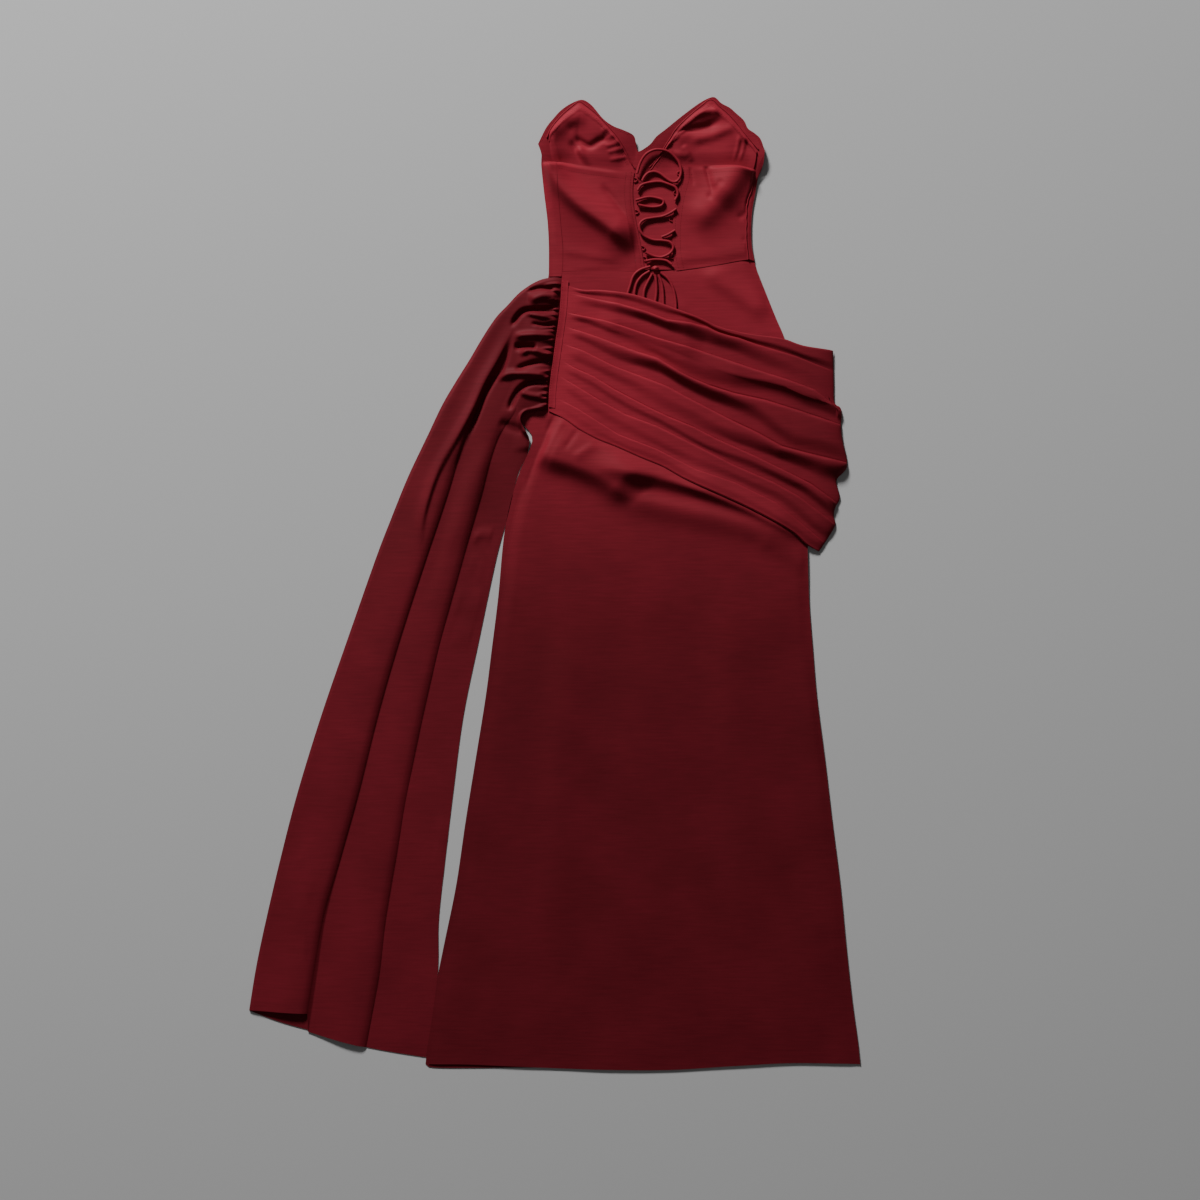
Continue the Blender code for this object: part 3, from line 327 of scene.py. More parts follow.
# the hip drape's folded edges from its top edge down: the line in photograph pixels, then along it where
# (photograph x), how high the edge stands, and at which shares of the way to the next edge the cloth
# starts to roll down and has come down
DRAPE_RIDGES = [
    (None,
     [(560, 1.2, 0.15, 0.5), (600, 2.5, 0.1, 0.55), (680, 3.0, 0.1, 0.6), (760, 3.5, 0.4, 0.95),
      (831, 4.0, 0.6, 0.97)]),
    ([(596, 300), (619, 305), (646, 313), (667, 321), (690, 324), (710, 329), (722, 333), (755, 345),
      (795, 357), (833, 372)],
     [(575, 0.5, 0.1, 0.5), (600, 3.2, 0.05, 0.5), (640, 7.0, 0.03, 0.5), (690, 9.0, 0.03, 0.55),
      (730, 8.0, 0.05, 0.6), (760, 5.0, 0.1, 0.7), (800, 1.5, 0.4, 0.9), (833, 0.5, 0.4, 0.9)]),
    ([(569, 314), (603, 321), (625, 328), (657, 339), (689, 348), (722, 359), (754, 370), (786, 380),
      (813, 390), (837, 409)],
     [(565, 3.6, 0.03, 0.45), (590, 3.4, 0.05, 0.45), (620, 2.2, 0.3, 0.8), (700, 4.5, 0.5, 0.93),
      (735, 7.5, 0.35, 0.85), (790, 8.5, 0.2, 0.8), (837, 8.0, 0.15, 0.75)]),
    ([(560, 326), (580, 332), (598, 338), (635, 352), (657, 359), (678, 372), (694, 380), (711, 387),
      (733, 394), (765, 401), (797, 411), (839, 425)],
     [(560, 1.5, 0.2, 0.6), (600, 3.5, 0.15, 0.6), (640, 8.0, 0.08, 0.55), (675, 11.0, 0.05, 0.6),
      (720, 10.5, 0.06, 0.62), (755, 7.5, 0.15, 0.7), (790, 5.0, 0.5, 0.95), (839, 5.0, 0.55, 0.95)]),
    ([(561, 344), (582, 351), (614, 367), (646, 379), (667, 387), (683, 396), (710, 410), (733, 422),
      (756, 433), (781, 447), (807, 454), (844, 463)],
     [(561, 1.5, 0.2, 0.6), (600, 2.6, 0.2, 0.6), (660, 3.2, 0.3, 0.8), (710, 3.8, 0.4, 0.9),
      (750, 7.0, 0.15, 0.7), (790, 9.0, 0.1, 0.6), (844, 10.0, 0.1, 0.6)]),
    ([(560, 360), (573, 368), (593, 377), (614, 390), (646, 407), (667, 417), (694, 428), (715, 439),
      (753, 456), (792, 475), (811, 485), (831, 500)],
     [(560, 1.4, 0.2, 0.6), (620, 2.4, 0.3, 0.7), (700, 2.8, 0.5, 0.9), (760, 4.5, 0.3, 0.8),
      (800, 6.5, 0.2, 0.7), (831, 6.5, 0.2, 0.7)]),
    ([(560, 377), (575, 386), (603, 403), (625, 415), (657, 427), (695, 446), (734, 466), (773, 483),
      (798, 497), (831, 522)],
     [(560, 1.4, 0.2, 0.6), (620, 2.0, 0.3, 0.8), (700, 2.6, 0.5, 0.9), (770, 3.6, 0.4, 0.9),
      (831, 4.2, 0.3, 0.8)]),
    ([(561, 401), (577, 409), (618, 435), (657, 450), (695, 470), (734, 483), (775, 503), (808, 530)],
     [(561, 0.8, 0.3, 0.8), (650, 1.2, 0.4, 0.9), (734, 1.2, 0.5, 0.9), (808, 1.6, 0.4, 0.9)]),
    (None,
     [(560, 1.2, 0.9, 1.0), (800, 2.0, 0.9, 1.0)]),
]

# down a pleat, as shares of the way to the next folded edge; and the rounding of the edge itself
PLEAT_STOPS = [0.0, 0.012, 0.03, 0.06, 0.10, 0.16, 0.23, 0.31, 0.39, 0.47, 0.55, 0.63, 0.71, 0.79, 0.86,
               0.92, 0.96, 0.985]
EDGE_ROUND = ([0.0, 0.012, 0.035, 0.08], [0.55, 0.80, 0.96, 1.0])

SURFACES = {}           # each cloth's upper face by its name, and its search tree once it is needed
TREES = {}


def smooth(value):
    """0 to 1 with level ends."""
    value = np.clip(value, 0.0, 1.0)
    return value * value * (3.0 - 2.0 * value)


def place(px, py):
    """A point of the photograph in the dress's plane."""
    return (px - PIXEL_ORIGIN[0]) * PIXEL, (PIXEL_ORIGIN[1] - py) * PIXEL


def photo_x(x):
    """The photograph's x for an x of the dress's plane."""
    return x / PIXEL + PIXEL_ORIGIN[0]


def height_on(line, x):
    """Height of a line that runs to the right, over x."""
    return np.interp(x, *np.array(line).T)


def x_on(line, y):
    """Where a line that runs downwards crosses the height y."""
    return float(np.interp(-y, [-p[1] for p in line], [p[0] for p in line]))


def index_curve(points, where):
    """The smooth curve through points, read at fractional indices."""
    pts = np.array(points, float)
    if pts.ndim == 1:
        pts = pts[:, None]
    where = np.clip(np.asarray(where, float), 0, len(pts) - 1)
    k = np.minimum(where.astype(int), len(pts) - 2)
    f = (where - k)[..., None]
    padded = np.vstack([2 * pts[0] - pts[1], pts, 2 * pts[-1] - pts[-2]])
    a, b, c, d = padded[k], padded[k + 1], padded[k + 2], padded[k + 3]
    return 0.5 * (2 * b + (c - a) * f + (2 * a - 5 * b + 4 * c - d) * f * f
                  + (3 * b - a - 3 * c + d) * f ** 3)


class Path:
    """A smooth curve through given points, read at 0 to 1 of its length."""

    def __init__(self, points, steps=8):
        where = np.linspace(0, len(points) - 1, (len(points) - 1) * steps + 1)
        self.points = index_curve(points, where)
        run = np.linalg.norm(np.diff(self.points, axis=0), axis=1)
        self.length = float(run.sum())
        self.share = np.concatenate([[0.0], np.cumsum(run)]) / self.length

    def at(self, share):
        return np.stack([np.interp(share, self.share, self.points[:, k])
                         for k in range(self.points.shape[1])], axis=-1)

    def left(self, share):
        """The direction square to the curve, to its left."""
        ahead = self.at(min(share + 0.01, 1.0)) - self.at(max(share - 0.01, 0.0))
        return np.array([-ahead[1], ahead[0]]) / np.linalg.norm(ahead)

    def distance(self, x, y):
        """Distance to the curve, where along it, and the side (+1 is to the left)."""
        shape = np.shape(x)
        at = np.stack([np.ravel(x), np.ravel(y)], axis=-1)
        best = np.full(len(at), 1e9)
        share = np.zeros(len(at))
        side = np.ones(len(at))
        for k in range(len(self.points) - 1):
            a = self.points[k, :2]
            run = self.points[k + 1, :2] - a
            t = np.clip(((at - a) @ run) / max(run @ run, 1e-12), 0, 1)
            gap = at - a - t[:, None] * run
            size = np.hypot(gap[:, 0], gap[:, 1])
            near = size < best
            best[near] = size[near]
            share[near] = (self.share[k] + t * (self.share[k + 1] - self.share[k]))[near]
            turn = run[0] * (at[:, 1] - a[1]) - run[1] * (at[:, 0] - a[0])
            side[near] = np.where(turn > 0, 1.0, -1.0)[near]
        return best.reshape(shape), share.reshape(shape), side.reshape(shape)


def shifted(points, dx, dy=0.0):
    return [(x + dx, y + dy) for x, y in points]


def outward(points, reach):
    """A line moved to its left by reach, and by nothing at its ends."""
    path = Path(points)
    return [tuple(path.at(share) + path.left(share) * reach * float(smooth(min(share, 1 - share) / 0.05)))
            for share in np.linspace(0, 1, 60)]


def side_path(column):
    """One side of the skirt from its waist down."""
    start = [WAIST_BACK[-1]] if column == "right" else []
    return Path(start + [(row[SKIRT_COLUMNS[column]], row[0]) for row in SKIRT])


def edge_x(column, y):
    """x of one side of the skirt at the height y."""
    rows = SKIRT[::-1]
    return np.interp(y, [row[0] for row in rows], [row[SKIRT_COLUMNS[column]] for row in rows])


CUP_PATH_LEFT = Path(NECKLINE[:12])
CUP_PATH_RIGHT = Path(NECKLINE[17:])
FRONT_TOP_PATH = Path(FRONT_DRAPE_TOP)
DRAPE_BOTTOM_PATH = Path(DRAPE_BOTTOM)


def cup_lift(x, y):
    """How much the cups puff up the layers near their edges."""
    near = np.asarray(y) >= 560
    gap = np.minimum(CUP_PATH_LEFT.distance(x, y)[0], CUP_PATH_RIGHT.distance(x, y)[0])
    return np.where(near, CUP_RIM * smooth(1.0 - gap / CUP_ROLL), 0.0)


def hip_lift(x, y):
    """How much the drape's front layer lifts the skirt over it."""
    top = np.interp(x, FRONT_TOP_PATH.points[:, 0], FRONT_TOP_PATH.points[:, 1])
    low = np.interp(x, DRAPE_BOTTOM_PATH.points[:, 0], DRAPE_BOTTOM_PATH.points[:, 1])
    above = 1.0 - (y - top - HIP_MARGIN[0]) / HIP_FADE[0]
    below = 1.0 - (low - y - HIP_MARGIN[1]) / HIP_FADE[1]
    return HIP_LIFT * smooth(above) * smooth(below)


def front_z(x, y):
    return cup_lift(x, y) + hip_lift(x, y)


def lining_z(x, y):
    return cup_lift(x, y) + LINING_STEP


def back_z(x, y):
    return cup_lift(x, y) + BACK_STEP - (BACK_STEP - HEM_STEP) * smooth(-np.asarray(y) / 110.0)


def folds_z(folds, x, y):
    """Height of all creases of a table together."""
    total = np.zeros(np.shape(x))
    for line, height, left, right in folds:
        path = Path([place(*p) for p in line])
        reach = FOLD_REACH * max(left, right)
        low = path.points.min(axis=0) - reach
        high = path.points.max(axis=0) + reach
        near = (x > low[0]) & (x < high[0]) & (y > low[1]) & (y < high[1])
        if not near.any():
            continue
        gap, share, side = path.distance(x[near], y[near])
        spread = np.where(side > 0, left, right)
        ends = smooth(share / FOLD_ENDS) * smooth((1.0 - share) / FOLD_ENDS)
        total[near] += height * ends * np.exp(-(gap / spread) ** 2)
    return total


def ripple(x, y, size, height, seed):
    """Faint unevenness of lying cloth."""
    a = np.sin(x / size + 1.7 * np.sin(y / (size * 1.9) + seed) + seed)
    b = np.sin(y / (size * 1.3) + 1.3 * np.sin(x / (size * 1.6) - seed) + 2.1 * seed)
    c = np.sin((x + y) / (size * 0.63) + 3.3 * seed + 1.1 * np.sin(x / (size * 0.9)))
    return height * (0.5 * a * b + 0.28 * c * a)


def patch(edges, us, vs):
    """x and y over the patch between the left, right, top and bottom edge, each a Path or its points."""
    left, right, top, bottom = [edge if isinstance(edge, Path) else Path(edge) for edge in edges]
    u = np.asarray(us)[None, :, None]
    v = np.asarray(vs)[:, None, None]
    flat = ((1 - u) * left.at(vs)[:, None, :] + u * right.at(vs)[:, None, :]
            + (1 - v) * top.at(us)[None, :, :] + v * bottom.at(us)[None, :, :])
    corners = ((1 - u) * (1 - v) * top.at(0.0) + u * (1 - v) * top.at(1.0)
               + (1 - u) * v * bottom.at(0.0) + u * v * bottom.at(1.0))
    both = flat - corners
    return both[..., 0], both[..., 1]


def spaced(count, ends=0.4):
    """0 to 1 with the steps closer at both ends."""
    t = np.linspace(0, 1, count)
    return (1 - ends) * t + ends * (0.5 - 0.5 * np.cos(np.pi * t))


def set_inputs(owner, node, *sources, **values):
    """Sets a shader node's inputs by name, and links sources, given as pairs of input and output."""
    for key, value in values.items():
        node.inputs[key.replace("_", " ")].default_value = value
    for key, source in sources:
        owner.node_tree.links.new(source, node.inputs[key])
    return node


def cloth_material(name, colour, rough=0.58, thread=0.00055, painted_hem_shade=0.0, across=0.0):
    """Satin weave with fine diagonal threads and faint uneven tone.

    The colour carries painted shade: the hem amount darkens it towards the hem (below zero it lightens it),
    across darkens it towards the right.
    """
    material = bpy.data.materials.new(name)
    material.use_nodes = True
    nodes = material.node_tree.nodes

    def made(kind, *sources, **values):
        return set_inputs(material, nodes.new("ShaderNode" + kind), *sources, **values)

    def noise(vector, scale, detail):
        return made("TexNoise", ("Vector", vector), Scale=scale, Detail=detail).outputs["Fac"]

    def spread(value, start, end, low, high, kind="LINEAR"):
        """The values from start to end, spread over low to high."""
        node = made("MapRange", ("Value", value), From_Min=start, From_Max=end, To_Min=low, To_Max=high)
        node.interpolation_type = kind
        return node.outputs["Result"]

    def times(one, other):
        node = made("Math", (0, one), (1, other))
        node.operation = "MULTIPLY"
        return node.outputs[0]

    where = made("TexCoord").outputs["Object"]
    split = made("SeparateXYZ", (0, where)).outputs
    # painted shade: darker towards the hem (lighter where the hem amount is below zero) and darker towards
    # the right
    hem = spread(split["Y"], 0.34, -0.16, 1.0, 1.0 - painted_hem_shade, "SMOOTHSTEP")
    away = spread(split["X"], 0.0, 0.43, 1.0, 1.0 - across)
    uneven = spread(noise(where, 11.0, 4.0), 0.3, 0.7, 1.0 - MOTTLE, 1.0 + MOTTLE)
    stretch = made("Mapping", ("Vector", where), Rotation=(0.0, 0.0, 0.12), Scale=(24.0, 380.0, 24.0))
    streaked = spread(noise(stretch.outputs["Vector"], 1.0, 3.0), 0.3, 0.7, 0.91, 1.09)
    # the colour times the painted shade and the cloth's own uneven tone and streaks
    tone_and_painted_shade = nodes.new("ShaderNodeMix")
    tone_and_painted_shade.data_type = "RGBA"
    tone_and_painted_shade.blend_type = "MULTIPLY"
    set_inputs(material, tone_and_painted_shade, ("B", times(times(away, hem), times(uneven, streaked))),
               Factor=1.0, A=(*colour, 1.0))
    slub = spread(noise(where, 900.0, 2.0), 0.0, 1.0, rough - 0.05, rough + 0.07)
    threads = made("TexWave", ("Vector", where), Scale=THREAD_BAND / thread, Distortion=1.2, Detail=1.0)
    threads.wave_type = "BANDS"
    threads.bands_direction = "DIAGONAL"
    bump = made("Bump", ("Height", threads.outputs["Fac"]), Strength=0.35, Distance=THREAD_DEPTH)
    set_inputs(material, nodes["Principled BSDF"], ("Base Color", tone_and_painted_shade.outputs["Result"]),
               ("Roughness", slub), ("Normal", bump.outputs["Normal"]), Metallic=0.0,
               Specular_IOR_Level=0.08, Sheen_Weight=0.03, Sheen_Roughness=0.45,
               Sheen_Tint=(0.80, 0.12, 0.16, 1.0))
    return material


def add_piece(name, data, material, nodes):
    """Puts a mesh or curve into the scene, in place of the solids it shows."""
    data.materials.append(material)
    piece = bpy.data.objects.new(name, data)
    bpy.context.scene.collection.objects.link(piece)
    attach(piece, "root")
    if nodes:
        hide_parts(*nodes)
    return piece


def add_mesh(name, points, faces, material, nodes=(), sharp=40):
    """A new piece from points in millimetres of the dress's plane."""
    mesh = bpy.data.meshes.new(name)
    at = (np.asarray(points, float) + np.array([DATUM[0], DATUM[1], 0.0])) * MM
    mesh.from_pydata(at.tolist(), [], faces)
    mesh.update()
    mesh.shade_smooth()
    if sharp:
        mesh.set_sharp_from_angle(angle=math.radians(sharp))
    return add_piece(name, mesh, material, nodes)


def grid_faces(rows, columns, start=0):
    """Quads of a grid of points numbered row by row from start."""
    index = np.arange(rows * columns).reshape(rows, columns) + start
    return np.stack([index[:-1, :-1], index[1:, :-1], index[1:, 1:], index[:-1, 1:]],
                    axis=-1).reshape(-1, 4)


def cloth(name, grid, material, nodes, thick=THICK):
    """One layer of cloth over a grid of points for its underside."""
    across = np.gradient(grid, axis=1)
    down = np.gradient(grid, axis=0)
    normals = np.cross(down, across)
    normals /= np.linalg.norm(normals, axis=2)[..., None]
    rows, columns = grid.shape[:2]
    count = rows * columns
    low = grid.reshape(-1, 3)
    high = (grid + normals * thick).reshape(-1, 3)
    top = grid_faces(rows, columns, count)
    under = grid_faces(rows, columns)[:, ::-1]
    index = np.arange(count).reshape(rows, columns)
    rim = np.concatenate([index[0, :], index[1:, -1], index[-1, -2::-1], index[-2:0:-1, 0]])
    after = np.roll(rim, -1)
    edge = np.stack([rim, after, after + count, rim + count], axis=-1)[:, ::-1]
    faces = np.vstack([top, under, edge]).tolist()
    piece = add_mesh(name, np.vstack([low, high]), faces, material, nodes)
    SURFACES[name] = (high, grid_faces(rows, columns).tolist())
    quads = low[grid_faces(rows, columns)]
    area = 0.5 * (np.linalg.norm(np.cross(quads[:, 1] - quads[:, 0], quads[:, 2] - quads[:, 0]), axis=1)
                  + np.linalg.norm(np.cross(quads[:, 2] - quads[:, 0], quads[:, 3] - quads[:, 0]),
                                   axis=1)).sum() * MM * MM
    width = np.linalg.norm(np.diff(grid, axis=1), axis=2).sum(axis=1).max() * MM
    length = np.linalg.norm(np.diff(grid, axis=0), axis=2).sum(axis=0).max() * MM
    width = min(max(width, area / length), area / (0.45 * length))
    width = round(width + 0.001, 3)
    length = round(length + 0.001, 3)
    return piece


def drop(names, x, y):
    """Height of the cloth's upper face under a point, in millimetres."""
    best = None
    for name in names:
        if name not in TREES:
            points, faces = SURFACES[name]
            TREES[name] = BVHTree.FromPolygons([Vector(p) for p in points], faces)
        hit = TREES[name].ray_cast(Vector((x, y, 60.0)), Vector((0, 0, -1)))
        if hit[0] is not None and (best is None or hit[0].z > best):
            best = hit[0].z
    return best


def cord(name, points, radius, material, nodes, spacing=1.6, sides=6):
    """A rouleau: a curve with round section through the points, in millimetres."""
    path = Path(points)
    count = max(int(path.length / spacing), 8)
    curve = bpy.data.curves.new(name, "CURVE")
    curve.dimensions = "3D"
    curve.bevel_depth = radius * MM
    curve.bevel_resolution = sides
    curve.use_fill_caps = True
    spline = curve.splines.new("POLY")
    spline.points.add(count)
    for k in range(count + 1):
        x, y, z = path.at(k / count)
        spline.points[k].co = ((x + DATUM[0]) * MM, (y + DATUM[1]) * MM, z * MM, 1.0)
    return add_piece(name, curve, material, nodes), path


def stitches(name, routes, on, material, length=2.4, gap=1.3, radius=0.24):
    """Rows of short sewing stitches that lie on the cloth."""
    points = []
    faces = []
    for route in routes:
        path = Path(route)
        count = int(path.length / (length + gap))
        for k in range(count):
            a = path.at((k * (length + gap)) / path.length)
            b = path.at((k * (length + gap) + length) / path.length)
            za = drop(on, a[0], a[1])
            zb = drop(on, b[0], b[1])
            if za is None or zb is None:
                continue
            start = len(points)
            way = np.array([b[0] - a[0], b[1] - a[1]])
            way /= max(np.linalg.norm(way), 1e-6)
            out = np.array([-way[1], way[0]])
            for share, size in ((0.0, 0.35), (0.2, 0.9), (0.8, 0.9), (1.0, 0.35)):
                mid = a + (b - a) * share
                z = za + (zb - za) * share
                for turn in range(5):
                    angle = math.pi * turn / 4
                    off = out * math.cos(angle) * radius * 1.3 * size
                    points.append((mid[0] + off[0], mid[1] + off[1],
                                   z - 0.05 + math.sin(angle) * radius * size))
            for ring in range(3):
                for turn in range(4):
                    i = start + ring * 5 + turn
                    faces.append([i, i + 5, i + 6, i + 1])
            faces.append([start + i for i in range(5)])
            faces.append([start + 15 + i for i in (4, 3, 2, 1, 0)])
            for ring in range(3):
                i = start + ring * 5
                faces.append([i + 4, i + 9, i + 5, i])
    return add_mesh(name, points, faces, material, sharp=0)


def build_front(satin, painted_shade_satin):
    x, y = patch((SIDE_LEFT, SIDE_RIGHT, NECKLINE, shifted(WAIST_FRONT, 0, SEAM)),
                 spaced(140, 0.2), spaced(60, 0.3))
    cloth("bodice_front", np.dstack([x, y, front_z(x, y)]), satin, ["front_bodice"])
    x, y = patch((side_path("front_left"), side_path("right"), WAIST_FRONT, HEM_FRONT),
                 spaced(60), spaced(130, 0.2))
    cloth("skirt_front", np.dstack([x, y, front_z(x, y)]), painted_shade_satin, ["front_skirt"])


def build_lining(lining, rouleau):
    left = ([(-9, 665), (-6, 640), (4, 604)], [(117, 621), (124, 610), (130.6, 600)],
            outward(LINING_EDGE_LEFT, LINING_OUT), [(4, 604), (67, 601), (130.6, 600)])
    right = ([(144, 621), (137, 610), (131.4, 600)], [(302, 647), (300, 630), (293, 604)],
             outward(LINING_EDGE_RIGHT, LINING_OUT), [(131.4, 600), (212, 601), (293, 604)])
    middle = ([(104, 599.2), (104, 545), (119, 470)], [(196, 599.2), (190, 530), (196, 470)],
              [(104, 599.2), (150, 599.2), (196, 599.2)], [(119, 470), (158, 470), (196, 470)])
    us = spaced(90, 0.3)
    vs = spaced(70, 0.3)
    down = vs[:, None]
    inner = smooth(np.minimum(np.minimum(us, 1 - us)[None, :], np.minimum(down, 1 - down)) * 9)
    for name, node, edges, folds in (("cup_inside_left", "cup_lining_left", left, CUP_LEFT_FOLDS),
                                     ("cup_inside_right", "cup_lining_right", right, CUP_RIGHT_FOLDS),
                                     ("lining_front", "front_lining", middle, [])):
        x, y = patch(edges, us, vs)
        lift = folds_z(folds, x, y) + ripple(x, y, 14, 0.5, 0.7)
        inside = inner
        puff = bead = 0.0
        if folds:
            # a cup stands up towards its outer side, stays low beside the back's top edge, and has a
            # bead of turned cloth along its rim
            puff = CUP_PUFF * smooth((np.abs(x - 140) - 34) / 16)
            back_top = np.where(x < 150, height_on(BACK_LEFT_TOP, x), height_on(BACK_RIGHT_TOP, x))
            inside = inner * smooth((y - back_top + 3.0) / 24.0)
            bead = CUP_BEAD * smooth(1 - np.abs(down * 90 - 7) / 5) * smooth((1 - down) * 9)
        z = lining_z(x, y) + 0.2 + np.maximum((lift + puff) * inside, -0.1) + bead
        cloth(name, np.dstack([x, y, z]), lining, [node])
    for side, edge in (("left", LINING_EDGE_LEFT), ("right", LINING_EDGE_RIGHT)):
        path = Path(edge)
        route = []
        for share in np.linspace(0, 1, 60):
            x, y = path.at(share) + path.left(share) * PIPING_OUT
            route.append((x, y, float(front_z(x, y)) + THICK + PIPING_RADIUS + 0.15))
        cord("piping_" + side, route, PIPING_RADIUS, rouleau, ["neckline_piping_" + side], 2.0)


def build_back_bodice(satin, rouleau):
    left = (shifted(BACK_LEFT_SEAM, SEAM), BACK_LEFT_LACED, BACK_LEFT_TOP,
            [(11 + SEAM, 467), (68, 467), (134, 467)])
    right = (BACK_RIGHT_LACED, ZIP_LINE, BACK_RIGHT_TOP, [(182, 468), (233, 475), (273, 482.5), (291, 485)])
    us = spaced(80, 0.3)
    down = spaced(100, 0.3)[:, None]
    # laced is the share of the way from a half's lacing to its seam; the left half's creases run on over
    # its seam, so they don't fade there
    for name, node, edges, folds, width, laced, beyond in (
            ("back_half_left", "back_left", left, BACK_LEFT_FOLDS, 115.0, (1 - us)[None, :], 99.0),
            ("back_half_right", "back_right", right, BACK_RIGHT_FOLDS, 110.0, us[None, :], 0.0)):
        x, y = patch(edges, us, down[:, 0])
        from_seam = (1 - laced) * width + beyond
        inside = smooth(np.minimum(from_seam, np.minimum(down, 1 - down) * BACK_HEIGHT) / 6.0)
        inside = inside * smooth(laced * width / 15.0)
        lift = folds_z(folds, x, y) + ripple(x, y, 17, 0.55, 0.3)
        # the turned edge at the top, and the channel beside the lacing
        middle = EDGE_TURN / 2
        band = 0.22 * smooth(1 - np.abs(down * BACK_HEIGHT - middle) / middle)
        channel = 0.15 * smooth(1 - np.abs(laced * width - middle) / middle)
        depth = -1.4 - 0.4 * smooth((np.abs(x - 150) - 50) / 10)
        z = back_z(x, y) + np.maximum(lift, depth) * inside + np.maximum(band, channel)
        cloth(name, np.dstack([x, y, z]), satin, [node])
    left = (SIDE_LEFT + [(-9, 459.5)], BACK_LEFT_SEAM + [(9.8, 459.5)],
            [(-25, 657), (-12, 640), (2, 630)], [(-9, 459.5), (1, 459.5), (9.8, 459.5)])
    right = (shifted(ZIP_LINE, SEAM), SIDE_RIGHT, [(300 + SEAM, 618), (308, 632), (314, 647)],
             [(291 + SEAM, 485), (295, 484), (299, 483)])
    us = np.linspace(0, 1, 14)
    for name, node, edges, across in (("side_left", "side_panel_left", left, us),
                                      ("side_right", "side_panel_right", right, 1 - us)):
        x, y = patch(edges, us, spaced(90, 0.2))
        z = lining_z(x, y) + 0.15 + (back_z(x, y) - lining_z(x, y) - 0.15) * smooth(across)[None, :]
        z += 0.5 * np.maximum(ripple(x, y, 9, 1.0, 1.9), 0) * np.sin(np.pi * us)[None, :]
        if name == "side_left":
            # the creases of the left half run on over this panel
            lift = np.maximum(folds_z(BACK_LEFT_FOLDS, x, y) + ripple(x, y, 17, 0.55, 0.3), -1.0)
            z += lift * smooth(us * 1.5)[None, :] * smooth((BACK_LEFT_TOP[0][1] - y) / 6.0)
        cloth(name, np.dstack([x, y, z]), satin, [node])
    line = Path(ZIP_LINE)
    route = []
    for k, share in enumerate(np.linspace(0, 1, 25)):
        x, y = line.at(share)
        wave = 0.45 * math.sin(2.3 * k) * math.sin(math.pi * share)
        route.append((x - ZIP_IN + wave, y, float(back_z(x, y)) + THICK + 0.15 + ZIP_RADIUS))
    cord("zip_cover", route, ZIP_RADIUS, rouleau, ["side_zip"], 2.0)


def edge_lift(x):
    """How much the drape's lower edge is held up by the skirt's crease under it."""
    return EDGE_LIFT * smooth((photo_x(x) - 655) / 55) * smooth((816 - photo_x(x)) / 40)


def build_back_skirt(painted_shade_satin):
    left = side_path("back_left")
    right = side_path("right")
    us = spaced(120, 0.35)
    vs = np.concatenate([np.linspace(0, 0.16, 34)[:-1], np.linspace(0.16, 0.45, 130)[:-1],
                         np.linspace(0.45, 1.0, 90)])
    x, y = patch((left, right, WAIST_BACK, HEM), us, vs)
    from_waist = vs[:, None] * SKIRT_LENGTH
    from_hem = (1 - vs[:, None]) * SKIRT_LENGTH
    seam_side = smooth((x - 140) / 50)
    tuck = smooth(1 - from_waist / 4.0) * seam_side
    y = y + WAIST_TUCK * tuck + 0.7 * smooth(1 - from_waist / 4.0) * (1 - seam_side)
    width = (right.at(vs) - left.at(vs))[:, 0][:, None]
    u = us[None, :]
    top = back_z(x, y)
    seam = front_z(x, y) + 1.2
    near_right = smooth(1 - (1 - u) * width / EDGE_ROLL)
    near_left = smooth(1 - u * width / EDGE_ROLL) * smooth((250 - y) / 20)
    fold = folds_z(SKIRT_FOLDS, x, y) + ripple(x, y, 70, 0.9, 0.4)
    fold = np.maximum(fold, -1.9) * smooth(np.minimum(u, 1 - u) * width / 12)
    fold = fold * smooth(from_waist / 12)
    # flat where the drape lies on it, and below the drape's edge no higher than that edge allows
    hidden = smooth((height_on(DRAPE_TOP, x) - y - 2) / 8)
    hidden *= smooth((y - height_on(DRAPE_BOTTOM, x) - 14) / 10)
    fold = fold * (1 - hidden)
    below = np.maximum(height_on(DRAPE_BOTTOM, x) - y, 0.0)
    allowed = np.where(y > 260, 99.0, 0.5 + 0.6 * below + 0.8 * edge_lift(x))
    fold = -SOFT_CAP * np.logaddexp(-fold / SOFT_CAP, -allowed / SOFT_CAP)
    z = top + (seam - top) * np.maximum(near_left, near_right) + fold
    z = z + 0.25 * smooth(1 - np.abs(from_hem - HEM_TURN) / 3) - 0.95 * tuck
    cloth("skirt_back", np.dstack([x, y, z]), painted_shade_satin, ["back_skirt"])


def ridge_shares(x, y, fs):
    """Where each folded edge of the drape crosses one column of it, from 0 at its top."""
    py = PIXEL_ORIGIN[1] - y / PIXEL
    shares = [0.0]
    for line, _ in DRAPE_RIDGES[1:-1]:
        line = np.array(line, float)
        first = (line[1] - line[0]) / (line[1][0] - line[0][0])
        last = (line[-1] - line[-2]) / (line[-1][0] - line[-2][0])
        line = np.vstack([line[0] - first * 60, line, line[-1] + last * 60])
        miss = py - np.interp(photo_x(x), line[:, 0], line[:, 1])
        shares.append(float(np.interp(0.0, miss, fs)))
    shares.append(1.0)
    shares = np.array(shares)
    for k in range(1, len(shares) - 1):
        shares[k] = min(max(shares[k], shares[k - 1] + 0.035), 1.0 - 0.03 * (len(shares) - 1 - k))
    return shares


